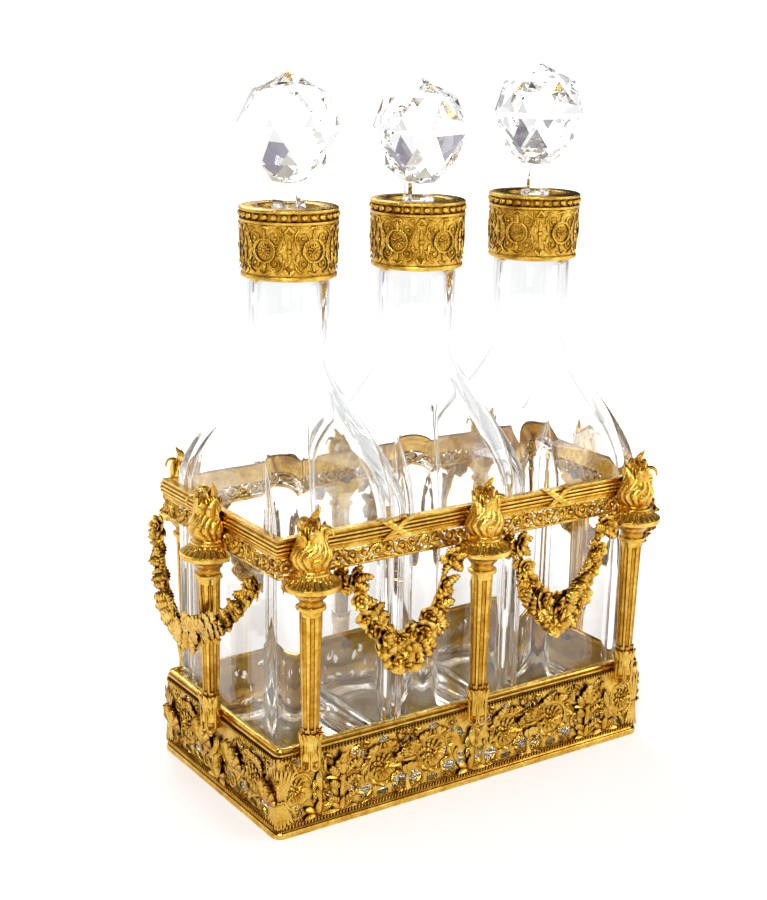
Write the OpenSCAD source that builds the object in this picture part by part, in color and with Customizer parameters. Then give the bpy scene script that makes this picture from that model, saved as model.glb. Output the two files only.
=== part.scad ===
// Three-bottle tantalus: a gilt bronze stand with torch posts, and three
// rectangular glass bottles with embossed collars and faceted stoppers.
// Front faces -Y, +Z is up, origin on the table under the middle.

/* [Plinth and gallery] */
// Length of the plinth, side to side
stand_l = 220; // [200:1:250]
// Depth of the plinth, front to back
stand_d = 115; // [105:1:130]
// Height of the plinth band
plinth_h = 4.6; // [4.4:0.1:7]
// Width of the plinth band, seen from above
plinth_w = 9; // [8:0.5:14]
// Radius of the plinth's corners
plinth_r = 5; // [3:0.5:8]
// Height of the gallery's top edge above the table
gallery_top = 43.8; // [40:0.2:52]
// Height of the gallery's cap moulding
cap_h = 4; // [3:0.1:5]
// Width of the cap moulding
cap_w = 4; // [3.4:0.1:6]
// Set-in of the cap from the plinth's edge
cap_in = 1.5; // [1:0.1:1.8]
// Set-in of the gallery panels' outer face from the plinth's edge
panel_in = 2; // [1.9:0.1:2.4]
// Thickness of the gallery panels
panel_t = 2.2; // [1.6:0.1:2.6]
// Thickness of the floor plate
floor_t = 2; // [1:0.1:4]
// Radius of the large rosettes on the gallery
rosette_r = 6.4; // [5:0.1:7]
// Half thickness of the scrolls round the rosettes
scroll_t = 1.1; // [0.8:0.1:1.5]
// Thickness of the raised leaves on the gallery
leaf_t = 1.4; // [0.8:0.1:1.6]
// Radius of the holes pierced in the gallery
pierce_r = 2.6; // [1.5:0.1:3]
// Distance of the middle rosettes from the centre of the long side
rosette_x1 = 22.5; // [20:0.5:24]
// Distance of the second rosettes from the centre of the long side
rosette_x2 = 51; // [50:0.5:54]
// Distance of the side rosettes from the centre of the short side
rosette_y = 33; // [28:0.5:36]
// Width of the leaf bent round each corner, on each side of it
corner_leaf_w = 9; // [6:0.5:11]
// Thickness of the corner leaves
corner_leaf_t = 1.2; // [0.8:0.1:1.6]

/* [Torch posts] */
// Distance of the outer front torches from the plinth's ends
torch_in = 16.5; // [14:0.5:20]
// How far the torch axes stand outside the plinth's edge
torch_out = 2; // [1.5:0.1:3]
// Height of the shaft's foot, where the leaf socket starts
socket_z = 32; // [28:0.5:34]
// Height of the leaf socket
socket_h = 20; // [17:0.5:24]
// Radius of the leaf socket
socket_r = 5.3; // [4.8:0.1:6]
// Radius of the shaft at its foot
shaft_r1 = 3.9; // [3.4:0.1:4.5]
// Radius of the shaft at its top
shaft_r2 = 5.2; // [4.6:0.1:5.6]
// Distance from the shaft's top up to the rail's top
shaft_drop = 32.5; // [30:0.5:36]
// Number of flutes on a shaft
flutes = 8; // [6:1:10]
// Radius of a flute's hollow
flute_r = 1.2; // [0.6:0.1:1.3]
// Radius of the cup's rim
cup_r = 13.5; // [11:0.1:14.5]
// Height of the cup, from the shaft to the flame
cup_h = 19; // [18:0.5:22]
// Radius of the flame at its widest
flame_r = 9.4; // [8:0.1:10.5]
// Height of the flame's tip above the rail's top
flame_rise = 14; // [8:0.5:18]
// Sideways lean of the flame's tip
flame_lean = 3; // [0:0.5:5]

/* [Rail and swags] */
// Height of the rail's top above the table
rail_top = 143; // [138:0.5:150]
// Height of the reeded rail
rail_h = 8.7; // [7:0.1:11]
// How far the reeds bulge out in front of the frieze
rail_bulge = 1; // [0.6:0.1:1.4]
// Number of reeds on the rail
reeds = 5; // [4:1:7]
// Height of the pierced frieze under the rail
frieze_h = 9.5; // [8:0.1:9.8]
// Thickness of the frieze
frieze_t = 1.6; // [1.2:0.1:1.9]
// Length of one pierced scroll of the frieze
frieze_pitch = 8.8; // [8:0.1:12]
// Width of the ribbon wound over the rail
ribbon_w = 3.4; // [2:0.1:5]
// Thickness of the ribbon
ribbon_t = 0.9; // [0.6:0.1:1.4]
// Distance of a front swag's inner end from the middle torch
swag_in = 20; // [19:0.5:22]
// Distance of a front swag's outer end from the outer torch
swag_out = 20.5; // [19.5:0.5:23]
// Distance of a side swag's ends from the corners of the plinth
swag_corner = 9; // [8:0.5:12]
// Drop of a front swag's centre line below its ends
swag_drop = 39; // [34:0.5:44]
// Drop of a side swag's centre line below its ends
swag_side_drop = 36; // [30:0.5:40]
// How far a side swag stands out in the middle, to pass in front of the shaft
swag_side_bulge = 9.2; // [8.8:0.1:11]
// Half height of a swag's flower bunches
swag_r = 8.5; // [6:0.1:9]
// Radius of the flower at each end of a swag
swag_flower_r = 5.4; // [4:0.1:6]
// Radius of the pad that holds a swag's end to the frieze
swag_pad_r = 3; // [2:0.1:4]

/* [Bottles] */
// Gap between neighbouring bottles
bottle_gap = 0.7; // [0.6:0.1:1.6]
// Gap between the bottles and the stand's inner edges
bottle_clear = 0.35; // [0.3:0.05:1]
// Radius of a bottle's upright corners
bottle_r = 8; // [5:0.5:12]
// Glass thickness of a bottle's sides
glass_t = 3.6; // [2.6:0.1:4.5]
// Glass thickness of a bottle's bottom
glass_floor = 9; // [6:0.5:14]
// Radius that rounds the inside of a bottle's bottom
cavity_r = 14; // [8:0.5:18]
// Height of the straight sides of a bottle
body_h = 136.4; // [130:0.2:150]
// Height of the shoulder above the straight sides
shoulder_h = 70; // [60:1:80]
// Height of the neck above the shoulder
neck_h = 62.5; // [58:0.5:70]
// Radius of the neck
neck_r = 19; // [17.5:0.1:20]
// Glass thickness of the neck
neck_t = 4.2; // [3.4:0.1:5]
// Depth of the rim inside the lip, above the plug's seat
lip_sink = 2.5; // [1.5:0.1:3.5]
// Height of the cone below the plug's seat, where the neck widens to its full bore
neck_cone = 6; // [4:0.5:9]

/* [Collars and stoppers] */
// Height of a collar
collar_h = 31; // [27:0.5:34]
// Radius of a collar at its top
collar_r1 = 22.4; // [21.8:0.1:24]
// Radius of a collar at its foot
collar_r2 = 21.2; // [20.9:0.1:21.6]
// Thickness of a collar's top flange
flange_t = 1.5; // [1:0.1:2.5]
// Radius of the hole in a collar's top
collar_hole = 13.5; // [12:0.1:15]
// Number of beads round a collar
collar_beads = 24; // [16:1:30]
// Radius of a stopper's plug at its top
plug_r1 = 11; // [10:0.1:11.6]
// Radius of a stopper's plug at its foot
plug_r2 = 10.3; // [9:0.1:10.4]
// Length of the plug
plug_h = 24; // [18:0.5:26]
// Radius of a stopper's ball over its widest corners
ball_r = 23.9; // [20:0.1:25]
// Height of the left ball's middle above the bottle's lip
ball_z = 36; // [34:0.5:44]
// Width of the stopper's neck, half of it
stem_r = 7.4; // [6:0.1:9]

/* [Fits] */
// Radial clearance of pieces that are put together
fit = 0.05; // [0.03:0.01:0.1]
// Radius of the rods and screws
rod_r = 1.25; // [1:0.05:1.4]
// Radius of a screw's head
head_r = 2.2; // [1.8:0.1:2.6]
// Thickness of a screw's head
head_t = 1.1; // [0.7:0.1:1.2]

/* [Hidden] */

$fn = 40;
GILT = "#D9A21B";
GLASS = "#E6ECEE";
STEEL = "#8C8468";

// Half sizes of the outlines that the stand is laid out on
panel_x = stand_l / 2 - panel_in;
panel_y = stand_d / 2 - panel_in;
cap_x = stand_l / 2 - cap_in;
cap_y = stand_d / 2 - cap_in;
well_x = cap_x - cap_w;
well_y = cap_y - cap_w;
torch_x = stand_l / 2 - torch_in;
torch_ax = stand_l / 2 + torch_out;
torch_ay = stand_d / 2 + torch_out;
panel_top = gallery_top - cap_h;
floor_z = plinth_h + floor_t;
rail_z = rail_top - rail_h;
shaft_top = rail_top - shaft_drop;
flame_top = rail_top + flame_rise;
frieze_z = rail_z - frieze_h;
// Gap from a screw's head to the cap, how far a rod reaches into the flame, and how far above the
// leaf socket it starts
SCREW_EDGE = 1.4;
ROD_GRIP = 5.5;
ROD_SEAT = 2.5;
screw_z = panel_top - head_r - SCREW_EDGE;
cup_screw_z = frieze_z + head_r + 0.2;
cup_screw_r = rod_r - 0.2;
cup_top = shaft_top + cup_h;
// Each torch: place on the plan and the way that it faces
FRONT_LEFT = [-torch_x, -torch_ay, 0];
FRONT_MIDDLE = [0, -torch_ay, 0];
FRONT_RIGHT = [torch_x, -torch_ay, 0];
BACK_LEFT = [-torch_x, torch_ay, 180];
BACK_MIDDLE = [0, torch_ay, 180];
BACK_RIGHT = [torch_x, torch_ay, 180];
SIDE_LEFT = [-torch_ax, 0, -90];
SIDE_RIGHT = [torch_ax, 0, 90];
TORCHES = [FRONT_LEFT, FRONT_MIDDLE, FRONT_RIGHT, BACK_LEFT, BACK_MIDDLE, BACK_RIGHT,
    SIDE_LEFT, SIDE_RIGHT];
// Distances from a torch's axis in to the faces behind it
to_panel = torch_out + panel_in;
to_cap = torch_out + cap_in;
// Bottles
pitch = 2 * well_x / 3;
bottle_w = pitch - bottle_gap;
bottle_d = 2 * (well_y - bottle_clear);
bottle_top = body_h + shoulder_h + neck_h;
neck_in = neck_r - neck_t;
lip_z = floor_z + bottle_top;
collar_top = lip_z + flange_t;
plug_top = bottle_top - lip_sink;
plug_foot = plug_top - plug_h;
PLACES = [-pitch, 0, pitch];
// Turn of each stopper, and how much higher than the left one's its ball stands
TURNS = [-16, 3, -7];
BALL_LIFTS = [0, -3, 3.5];

// Ring of points on a rectangle with round corners, half sizes a and b, corner radius r
CORNER_POINTS = 8;
function round_ring(a, b, r, z) = [
    for (q = [0:3]) for (k = [0:CORNER_POINTS - 1])
        let (t = 90 * q + 90 * (k + 0.5) / CORNER_POINTS,
             sx = (q == 0 || q == 3) ? 1 : -1,
             sy = q < 2 ? 1 : -1)
        [sx * (a - r) + r * cos(t), sy * (b - r) + r * sin(t), z]];
function smooth(t) = t * t * (3 - 2 * t);
function mix(a, b, t) = a + (b - a) * t;

// Closed skin over rings of the same number of points, lowest or first ring first
module skin(rings) {
    n = len(rings[0]);
    m = len(rings);
    points = [for (ring = rings) for (p = ring) p];
    sides = [for (j = [0:m - 2]) for (i = [0:n - 1])
        let (a = j * n + i, b = (j + 1) * n + i,
             c = (j + 1) * n + (i + 1) % n, d = j * n + (i + 1) % n)
        each [[a, b, c], [a, c, d]]];
    foot = [[for (i = [0:n - 1]) i]];
    top = [[for (i = [n - 1:-1:0]) (m - 1) * n + i]];
    polyhedron(points = points, faces = concat(foot, sides, top), convexity = 6);
}

// Puts a piece drawn for the front's torch frame at a torch's place
module at_torch(place) {
    translate([place[0], place[1], 0])
        rotate(place[2])
            children();
}

// Flat plan outline with round corners
module round_plan(x, y, r) {
    for (a = [[x - r, y], [x, y - r]])
        square([2 * a[0], 2 * a[1]], center = true);
    for (sx = [-1, 1])
        for (sy = [-1, 1])
            translate([sx * (x - r), sy * (y - r)])
                circle(r);
}

// Leaf outline between two arcs, l long and w wide, along X
module leaf_plan(l, w) {
    r = (l * l + w * w) / (4 * w);
    intersection() {
        translate([0, r - w / 2])
            circle(r);
        translate([0, w / 2 - r])
            circle(r);
    }
}

// Turns a flat drawing of X and Z into a plate that faces -Y, its front at y
module upright(y, t) {
    translate([0, y + t, 0])
        rotate([90, 0, 0])
            linear_extrude(t)
                children();
}

module floor_plate() {
    x = panel_x - panel_t - fit;
    y = panel_y - panel_t - fit;
    color(GILT)
        translate([-x, -y, plinth_h])
            cube([2 * x, 2 * y, floor_t]);
}

module plinth() {
    color(GILT)
        difference() {
            union() {
                linear_extrude(plinth_h * 0.7)
                    round_plan(stand_l / 2, stand_d / 2, plinth_r);
                linear_extrude(plinth_h)
                    round_plan(stand_l / 2 - 0.6, stand_d / 2 - 0.6, plinth_r - 0.6);
            }
            translate([0, 0, -1])
                linear_extrude(plinth_h + 2)
                    round_plan(stand_l / 2 - plinth_w, stand_d / 2 - plinth_w, 1);
        }
}

module gallery_cap() {
    color(GILT)
        difference() {
            union() {
                translate([0, 0, panel_top])
                    linear_extrude(cap_h)
                        round_plan(cap_x - 0.5, cap_y - 0.5, plinth_r - cap_in - 0.5);
                translate([0, 0, panel_top + cap_h * 0.3])
                    linear_extrude(cap_h * 0.55)
                        round_plan(cap_x, cap_y, plinth_r - cap_in);
            }
            translate([0, 0, panel_top - 1])
                linear_extrude(cap_h + 2)
                    round_plan(well_x, well_y, 0.8);
        }
}

// Raised flower head of radius r, its back at y = 0
module rosette(r) {
    rotate([90, 0, 0]) {
        rotate_extrude()
            polygon([[0, 0], [r - 1.4, 0], [r - 1.6, 0.6], [2, 1.1], [1.4, 1.5], [0, 1.6]]);
        for (k = [0:5])
            rotate(60 * k)
                translate([r - 2.8, 0, 0])
                    cylinder(h = 1.2, r = r * 0.27);
    }
}

// Curled scroll round a flower head
module scroll_ring(r) {
    rotate([90, 0, 0])
        rotate_extrude()
            translate([r, 0])
                intersection() {
                    circle(scroll_t);
                    translate([-2, 0])
                        square([4, 2]);
                }
}

// Upright spray of three leaves on a round foot, its back at y = 0
module plume(l, spread) {
    upright(-leaf_t, leaf_t) {
        circle(l * 0.12);
        for (a = [-spread, 0, spread])
            rotate(90 - a)
                translate([l * 0.44, 0])
                    leaf_plan(l, l * 0.3);
    }
}

// One pierced panel, l long, its outer face at y = -d, with flowers and sprays at the places given
module gallery_panel(l, d, flowers, sprays, screws) {
    h = panel_top - plinth_h;
    mid_z = plinth_h + h / 2;
    ring_r = rosette_r + 2.6;
    color(GILT)
        difference() {
            union() {
                translate([-l / 2, -d, plinth_h])
                    cube([l, panel_t, h]);
                for (x = flowers)
                    translate([x, -d, mid_z]) {
                        rosette(rosette_r);
                        scroll_ring(ring_r);
                    }
                for (x = sprays)
                    translate([x, -d, plinth_h + h * 0.2])
                        plume(h * 0.62, 30);
            }
            for (x = flowers)
                for (sx = [-1, 1])
                    for (sz = [-1, 1])
                        translate([x + sx * ring_r, 1 - d + panel_t, mid_z + sz * h * 0.34])
                            rotate([90, 0, 0])
                                cylinder(h = panel_t + 4, r = pierce_r);
            for (x = screws)
                translate([x, 1 - d + panel_t, screw_z])
                    rotate([90, 0, 0])
                        cylinder(h = panel_t + 2, r = rod_r + fit);
        }
}

module gallery_long() {
    spray_x = (torch_x + rosette_x2 + rosette_r) / 2;
    gallery_panel(2 * panel_x, panel_y, [-rosette_x2, -rosette_x1, rosette_x1, rosette_x2],
        [-spray_x, spray_x], [-torch_x, 0, torch_x]);
}

module gallery_short() {
    gallery_panel(2 * (panel_y - panel_t - fit), panel_x, [-rosette_y, rosette_y],
        [-rosette_y * 0.42, rosette_y * 0.42], [0]);
}

module gallery_front() {
    gallery_long();
}

module gallery_back() {
    rotate(180)
        gallery_long();
}

module gallery_left() {
    rotate(-90)
        gallery_short();
}

module gallery_right() {
    rotate(90)
        gallery_short();
}

// Radius of the bent leaf's outer edge
LEAF_ROUND = 2;
// Acanthus leaf bent round each corner of the gallery
module corner_leaves() {
    t = corner_leaf_t;
    leaf = corner_leaf_w;
    h = panel_top - plinth_h;
    color(GILT)
        for (c = [[-1, -1, 0], [1, -1, 90], [1, 1, 180], [-1, 1, 270]])
            translate([c[0] * (panel_x + t), c[1] * (panel_y + t), plinth_h])
                rotate(c[2])
                    difference() {
                        union() {
                            linear_extrude(h * 0.42)
                                square(leaf);
                            linear_extrude(h)
                                square(leaf * 0.62);
                        }
                        translate([t, t, -1])
                            cube([leaf, leaf, h + 2]);
                        translate([-1, -1, -1])
                            difference() {
                                cube([1 + LEAF_ROUND, 1 + LEAF_ROUND, h + 2]);
                                translate([1 + LEAF_ROUND, 1 + LEAF_ROUND, -1])
                                    cylinder(h = h + 4, r = LEAF_ROUND);
                            }
                    }
}

// Fluted shaft that stands in a leaf socket and hangs it against the gallery
module torch_shaft(place) {
    foot = socket_z + socket_h - 2;
    shaft_h = shaft_top - foot;
    tilt = atan((shaft_r2 - shaft_r1) / shaft_h);
    boss_z = socket_z + 2.4;
    color(GILT)
        at_torch(place)
            difference() {
                union() {
                    translate([0, 0, foot])
                        cylinder(h = shaft_h, r1 = shaft_r1, r2 = shaft_r2);
                    translate([0, 0, socket_z])
                        rotate_extrude()
                            polygon([[0, 0], [1.6, 0], [2.6, 2.4], [2.2, 3.6], [socket_r - 0.6, 7],
                                [socket_r - 0.9, socket_h - 7], [socket_r, socket_h - 2],
                                [socket_r - 0.4, socket_h], [0, socket_h]]);
                    translate([-2.1, 0, boss_z])
                        cube([4.2, to_panel, panel_top - boss_z]);
                }
                for (k = [0:flutes - 1])
                    rotate(360 * (k + 0.5) / flutes)
                        translate([shaft_r1 + flute_r * 0.3, 0, foot + 4])
                            rotate([0, tilt, 0])
                                cylinder(h = shaft_h - 6.5, r = flute_r);
                translate([0, 0, foot + 4])
                    cylinder(h = shaft_h, r = rod_r + fit);
                translate([-2 * socket_r, to_cap, panel_top])
                    cube([4 * socket_r, 4 * socket_r, cap_h]);
                translate([-2 * socket_r, to_panel, socket_z - 1])
                    cube([4 * socket_r, 4 * socket_r, gallery_top - socket_z + 1]);
                translate([0, to_panel + 1, screw_z])
                    rotate([90, 0, 0])
                        cylinder(h = to_panel + 1, r = rod_r + fit);
            }
}

// Cup's profile: share of the way from the shaft's radius to the rim's, and share of the height
CUP_SHAPE = [[0.05, 0], [0.157, 0.053], [0.157, 0.126], [0.024, 0.18], [0, 0.274], [0.284, 0.368],
    [0.675, 0.474], [0.916, 0.579], [1, 0.663], [0.935, 0.737], [0.545, 0.916], [0.187, 1]];
// Turned cup with its wide rim, cut flat where it lies on the frieze
module torch_cup(place) {
    color(GILT)
        at_torch(place)
            difference() {
                translate([0, 0, shaft_top])
                    rotate_extrude()
                        polygon(concat([[0, 0]],
                            [for (p = CUP_SHAPE) [mix(shaft_r2, cup_r, p[0]), cup_h * p[1]]],
                            [[0, cup_h]]));
                translate([0, 0, shaft_top - 1])
                    cylinder(h = cup_h + 2, r = rod_r + fit);
                translate([-2 * cup_r, to_panel, shaft_top - 1])
                    cube([4 * cup_r, 2 * cup_r, cup_h + 2]);
                translate([0, to_panel + 1, cup_screw_z])
                    rotate([90, 0, 0])
                        cylinder(h = to_panel + 1 - rod_r - 0.4, r = cup_screw_r + fit);
            }
}

// Flame: a bulb of twisted tongues that draws in and leans at its tip
FLAME_SHAPE = [[0, 0.62], [0.12, 0.78], [0.3, 1], [0.45, 0.97], [0.6, 0.82], [0.74, 0.62],
    [0.88, 0.36], [1, 0.1]];
FLAME_SIDES = 18;
module torch_flame(place) {
    h = flame_top - cup_top;
    rings = [for (f = FLAME_SHAPE)
        [for (i = [0:FLAME_SIDES - 1])
            let (a = 360 * i / FLAME_SIDES,
                 r = flame_r * f[1] * (0.92 + 0.08 * cos(6 * a - 150 * f[0])))
            [flame_lean * f[0] * f[0] + r * cos(a), r * sin(a), cup_top + h * f[0]]]];
    color(GILT)
        at_torch(place)
            difference() {
                skin(rings);
                translate([0, 0, cup_top - 1])
                    cylinder(h = ROD_GRIP + 1.5, r = rod_r + fit);
                translate([-2 * flame_r, to_panel - rail_bulge - fit, cup_top - 1])
                    cube([4 * flame_r, 2 * flame_r, rail_top - cup_top + 1 + fit]);
                translate([-2 * flame_r, to_cap + cap_w - 2, cup_top - 1])
                    cube([4 * flame_r, 2 * flame_r, h + 2]);
            }
}

// Rods that draw flame, cup and shaft together
module torch_rods() {
    foot = socket_z + socket_h + ROD_SEAT;
    color(STEEL)
        for (place = TORCHES)
            at_torch(place)
                translate([0, 0, foot])
                    cylinder(h = cup_top + ROD_GRIP - foot, r = rod_r);
}

// Screw with a round head, its head's seat at y = 0 and its shank towards -Y
module screw(l, r) {
    rotate([90, 0, 0])
        cylinder(h = l, r = r);
    rotate([-90, 0, 0])
        cylinder(h = head_t, r = head_r);
}

module gallery_screws() {
    color(STEEL)
        for (place = TORCHES)
            at_torch(place)
                translate([0, to_panel + panel_t, screw_z])
                    screw(panel_t + to_panel - 0.5, rod_r);
}

module rail_screws() {
    color(STEEL)
        for (place = TORCHES)
            at_torch(place)
                translate([0, to_panel + frieze_t, cup_screw_z])
                    screw(frieze_t + to_panel - rod_r - 0.6, cup_screw_r);
}

// Trapezium that mitres a length of moulding whose outer corners lie at l / 2, -d
module mitre(l, d, w, z, h) {
    translate([0, 0, z])
        linear_extrude(h)
            polygon([[-l / 2, -d], [l / 2, -d], [l / 2 - w, w - d], [w - l / 2, w - d]]);
}

// Reeded rail, its flat back in line with the cap's inner edge
module rail(l, d) {
    w = cap_in + cap_w - panel_in + rail_bulge;
    reed = rail_h / reeds / 2;
    middle = (reeds - 1) / 2;
    color(GILT)
        intersection() {
            translate([-l / 2, 0, 0])
                rotate([90, 0, 90])
                    linear_extrude(l) {
                        translate([1.3 * reed - d, rail_z])
                            square([w - 1.3 * reed, rail_h]);
                        for (k = [0:reeds - 1])
                            let (u = (k - middle) / middle)
                            translate([reed + rail_bulge * u * u - d, rail_z + reed * (2 * k + 1)])
                                circle(reed);
                    }
            mitre(l, d, w, rail_z - 1, rail_h + 2);
        }
}

module rail_long() {
    rail(2 * (panel_x + rail_bulge), panel_y + rail_bulge);
}

module rail_short() {
    rail(2 * (panel_y + rail_bulge), panel_x + rail_bulge);
}

module rail_front() {
    rail_long();
}

module rail_back() {
    rotate(180)
        rail_long();
}

module rail_left() {
    rotate(-90)
        rail_short();
}

module rail_right() {
    rotate(90)
        rail_short();
}

// Pierced frieze with slanting leaf-shaped windows between two plain edges
module frieze(l, d, screws) {
    count = floor((l - 8) / frieze_pitch);
    color(GILT)
        difference() {
            mitre(l, d, frieze_t, frieze_z, frieze_h);
            for (k = [0:count - 1])
                let (x = (k - (count - 1) / 2) * frieze_pitch,
                     near = [for (s = screws) if (abs(s - x) < frieze_pitch / 2 + head_r) s])
                if (len(near) == 0)
                    translate([x, 0, frieze_z + frieze_h / 2])
                        for (s = [-1, 1])
                            translate([s * frieze_pitch / 4, 0, s * 0.7])
                                upright(-d - 1, frieze_t + 2)
                                    rotate(k % 2 == 0 ? 50 : -50)
                                        leaf_plan(frieze_h * 0.62, 2.2);
            for (x = screws)
                translate([x, 1 - d + frieze_t, cup_screw_z])
                    rotate([90, 0, 0])
                        cylinder(h = frieze_t + 2, r = cup_screw_r + fit);
        }
}

module frieze_long() {
    frieze(2 * panel_x, panel_y, [-torch_x, 0, torch_x]);
}

module frieze_short() {
    frieze(2 * panel_y, panel_x, [0]);
}

module frieze_front() {
    frieze_long();
}

module frieze_back() {
    rotate(180)
        frieze_long();
}

module frieze_left() {
    rotate(-90)
        frieze_short();
}

module frieze_right() {
    rotate(90)
        frieze_short();
}

// Ribbon crossed over the rail, in the middle of each long bay
module ribbon_tie() {
    y = -panel_y - rail_bulge;
    cross_w = rail_h * 1.3;
    upright(y - ribbon_t, ribbon_t)
        intersection() {
            for (s = [-1, 1])
                translate([0, rail_z + rail_h / 2])
                    rotate(90 + 52 * s)
                        square([4 * rail_h, ribbon_w], center = true);
            translate([-cross_w, rail_z])
                square([2 * cross_w, rail_h + ribbon_t]);
        }
    for (s = [-1, 1])
        translate([s * rail_h * 0.58 - ribbon_w / 2, y - ribbon_t, rail_top])
            cube([ribbon_w, ribbon_t + rail_bulge + 3, ribbon_t]);
}

module ribbon_ties() {
    color(GILT)
        for (turn = [0, 180])
            for (s = [-1, 1])
                rotate(turn)
                    translate([s * torch_x / 2, 0, 0])
                        ribbon_tie();
}

// Share of the path's slope by which a swag's section leans, so that tight bends do not fold over
SWAG_LEAN = 0.6;
SWAG_RINGS = 30;
SWAG_SIDES = 14;
// Swag drawn in the frame of the front: hung between x1 and x2 at distance d, standing out by
// bulge more in the middle, with its drop and its depth as a share of its height
module swag(x1, x2, d, back, bulge, drop, depth) {
    half = (x2 - x1) / 2;
    hang_z = frieze_z - 3;
    rings = [for (j = [0:SWAG_RINGS])
        let (s = 2 * j / SWAG_RINGS - 1,
             sag = 1 - s * s,
             slope = SWAG_LEAN * atan2(2 * drop * s, half),
             bunch = smooth(max(0, min(1, (0.86 - abs(s)) / 0.3))),
             size = swag_r * (0.34 + 0.6 * bunch + 0.07 * cos(900 * s)))
        [for (i = [0:SWAG_SIDES - 1])
            let (a = 360 * i / SWAG_SIDES,
                 r = size * (1 + 0.1 * sin(5 * a + 700 * s)))
            [(x1 + x2) / 2 + half * s * (1 + 0.1 * sag) - r * sin(a) * sin(slope),
             depth * r * cos(a) - d - bulge * sag,
             hang_z - drop * sag + r * sin(a) * cos(slope)]]];
    color(GILT) {
        skin(rings);
        for (x = [x1, x2])
            translate([x, -back, frieze_z])
                rotate([90, 0, 0]) {
                    cylinder(h = d - back + 1, r = swag_pad_r);
                    translate([0, -1.5, d - back])
                        cylinder(h = 3.6, r1 = swag_flower_r, r2 = swag_flower_r * 0.55);
                }
    }
}

module swag_long(side) {
    inner = side * swag_in;
    outer = side * (torch_x - swag_out);
    swag(min(inner, outer), max(inner, outer), torch_ay + 0.5, panel_y, 0.6, swag_drop, 0.6);
}

module swag_short() {
    half = stand_d / 2 - swag_corner;
    swag(-half, half, torch_ax + 0.5, panel_x, swag_side_bulge, swag_side_drop, 0.45);
}

module swag_front_left() {
    swag_long(-1);
}

module swag_front_right() {
    swag_long(1);
}

module swag_back_left() {
    rotate(180)
        swag_long(1);
}

module swag_back_right() {
    rotate(180)
        swag_long(-1);
}

module swag_side_left() {
    rotate(-90)
        swag_short();
}

module swag_side_right() {
    rotate(90)
        swag_short();
}

// Hollow glass bottle: rectangular below, its section drawn in smoothly to the round neck
SHOULDER_STEPS = 12;
FLOOR_STEPS = 4;
module bottle(place) {
    a = bottle_w / 2;
    b = bottle_d / 2;
    join = 0.15;
    shoulder_z = body_h + shoulder_h;
    outside = concat(
        [round_ring(a - 0.8, b - 0.8, bottle_r - 0.8, 0), round_ring(a, b, bottle_r, 0.8)],
        [for (j = [0:SHOULDER_STEPS])
            let (t = j / SHOULDER_STEPS, s = smooth(t), e = neck_r - join)
            round_ring(mix(a, e, s), mix(b, e, s), mix(bottle_r, e, s), body_h + shoulder_h * t)]);
    inside = concat(
        [for (j = [0:FLOOR_STEPS])
            let (q = 90 * j / FLOOR_STEPS, in = glass_t + cavity_r * (1 - sin(q)))
            round_ring(a - in, b - in, neck_in - join, glass_floor + cavity_r * (1 - cos(q)))],
        [for (j = [0:SHOULDER_STEPS])
            let (t = j / SHOULDER_STEPS, s = smooth(t), e = neck_in - join)
            round_ring(mix(a - glass_t, e, s), mix(b - glass_t, e, s), e, body_h + shoulder_h * t)]);
    color(GLASS, 0.4)
        translate([place, 0, floor_z])
            difference() {
                union() {
                    skin(outside);
                    translate([0, 0, shoulder_z - 0.5])
                        cylinder(h = neck_h + 0.5, r = neck_r);
                }
                skin(inside);
                translate([0, 0, shoulder_z - 0.5])
                    cylinder(h = plug_foot - neck_cone - shoulder_z + 0.5, r = neck_in);
                translate([0, 0, plug_foot - neck_cone])
                    cylinder(h = neck_cone, r1 = neck_in, r2 = plug_r2 + fit);
                translate([0, 0, plug_foot])
                    cylinder(h = plug_h, r1 = plug_r2 + fit, r2 = plug_r1 + fit);
                translate([0, 0, plug_top])
                    cylinder(h = lip_sink + 1, r = plug_r1 * 1.11);
            }
}

// Embossed sleeve with a bead row, its flange resting on the bottle's lip
module collar(place) {
    h = collar_h;
    top = collar_r1;
    foot = collar_r2;
    color(GILT)
        translate([place, 0, collar_top - h])
            difference() {
                union() {
                    rotate_extrude()
                        polygon([[neck_r - 1, 0], [foot + 0.1, 0], [foot + 0.5, 0.6], [foot + 0.5, 1.8],
                            [foot, 2.6], [mix(foot, top, 0.8), h - 6.4], [top - 0.2, h - 6],
                            [top - 0.2, h - 5.2], [top - 1, h - 4.8], [top - 1, h - 1.8],
                            [top, h - 1.4], [top, h - 0.5], [top - 0.5, h], [neck_r - 1, h]]);
                    for (k = [0:collar_beads - 1])
                        rotate(360 * k / collar_beads)
                            translate([top - 1.1, 0, h - 3.3])
                                sphere(1.3);
                    translate([0, 0, h - flange_t])
                        cylinder(h = flange_t, r = top - 1.2);
                }
                translate([0, 0, -1])
                    cylinder(h = h - flange_t + 1, r = neck_r + fit);
                translate([0, 0, -1])
                    cylinder(h = h + 2, r = collar_hole);
            }
}

// Rows of a stopper's ball, over its radius: height, radius and turn of their six corners. Each
// row is turned half a facet on the one below, so that the ball is cut in triangles.
BALL_FOOT = -1.02;
BALL_ROWS = [[-0.68, 0.7, -30], [0, 1, -60], [0.6, 0.7, -90], [0.93, 0.02, -90]];
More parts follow.
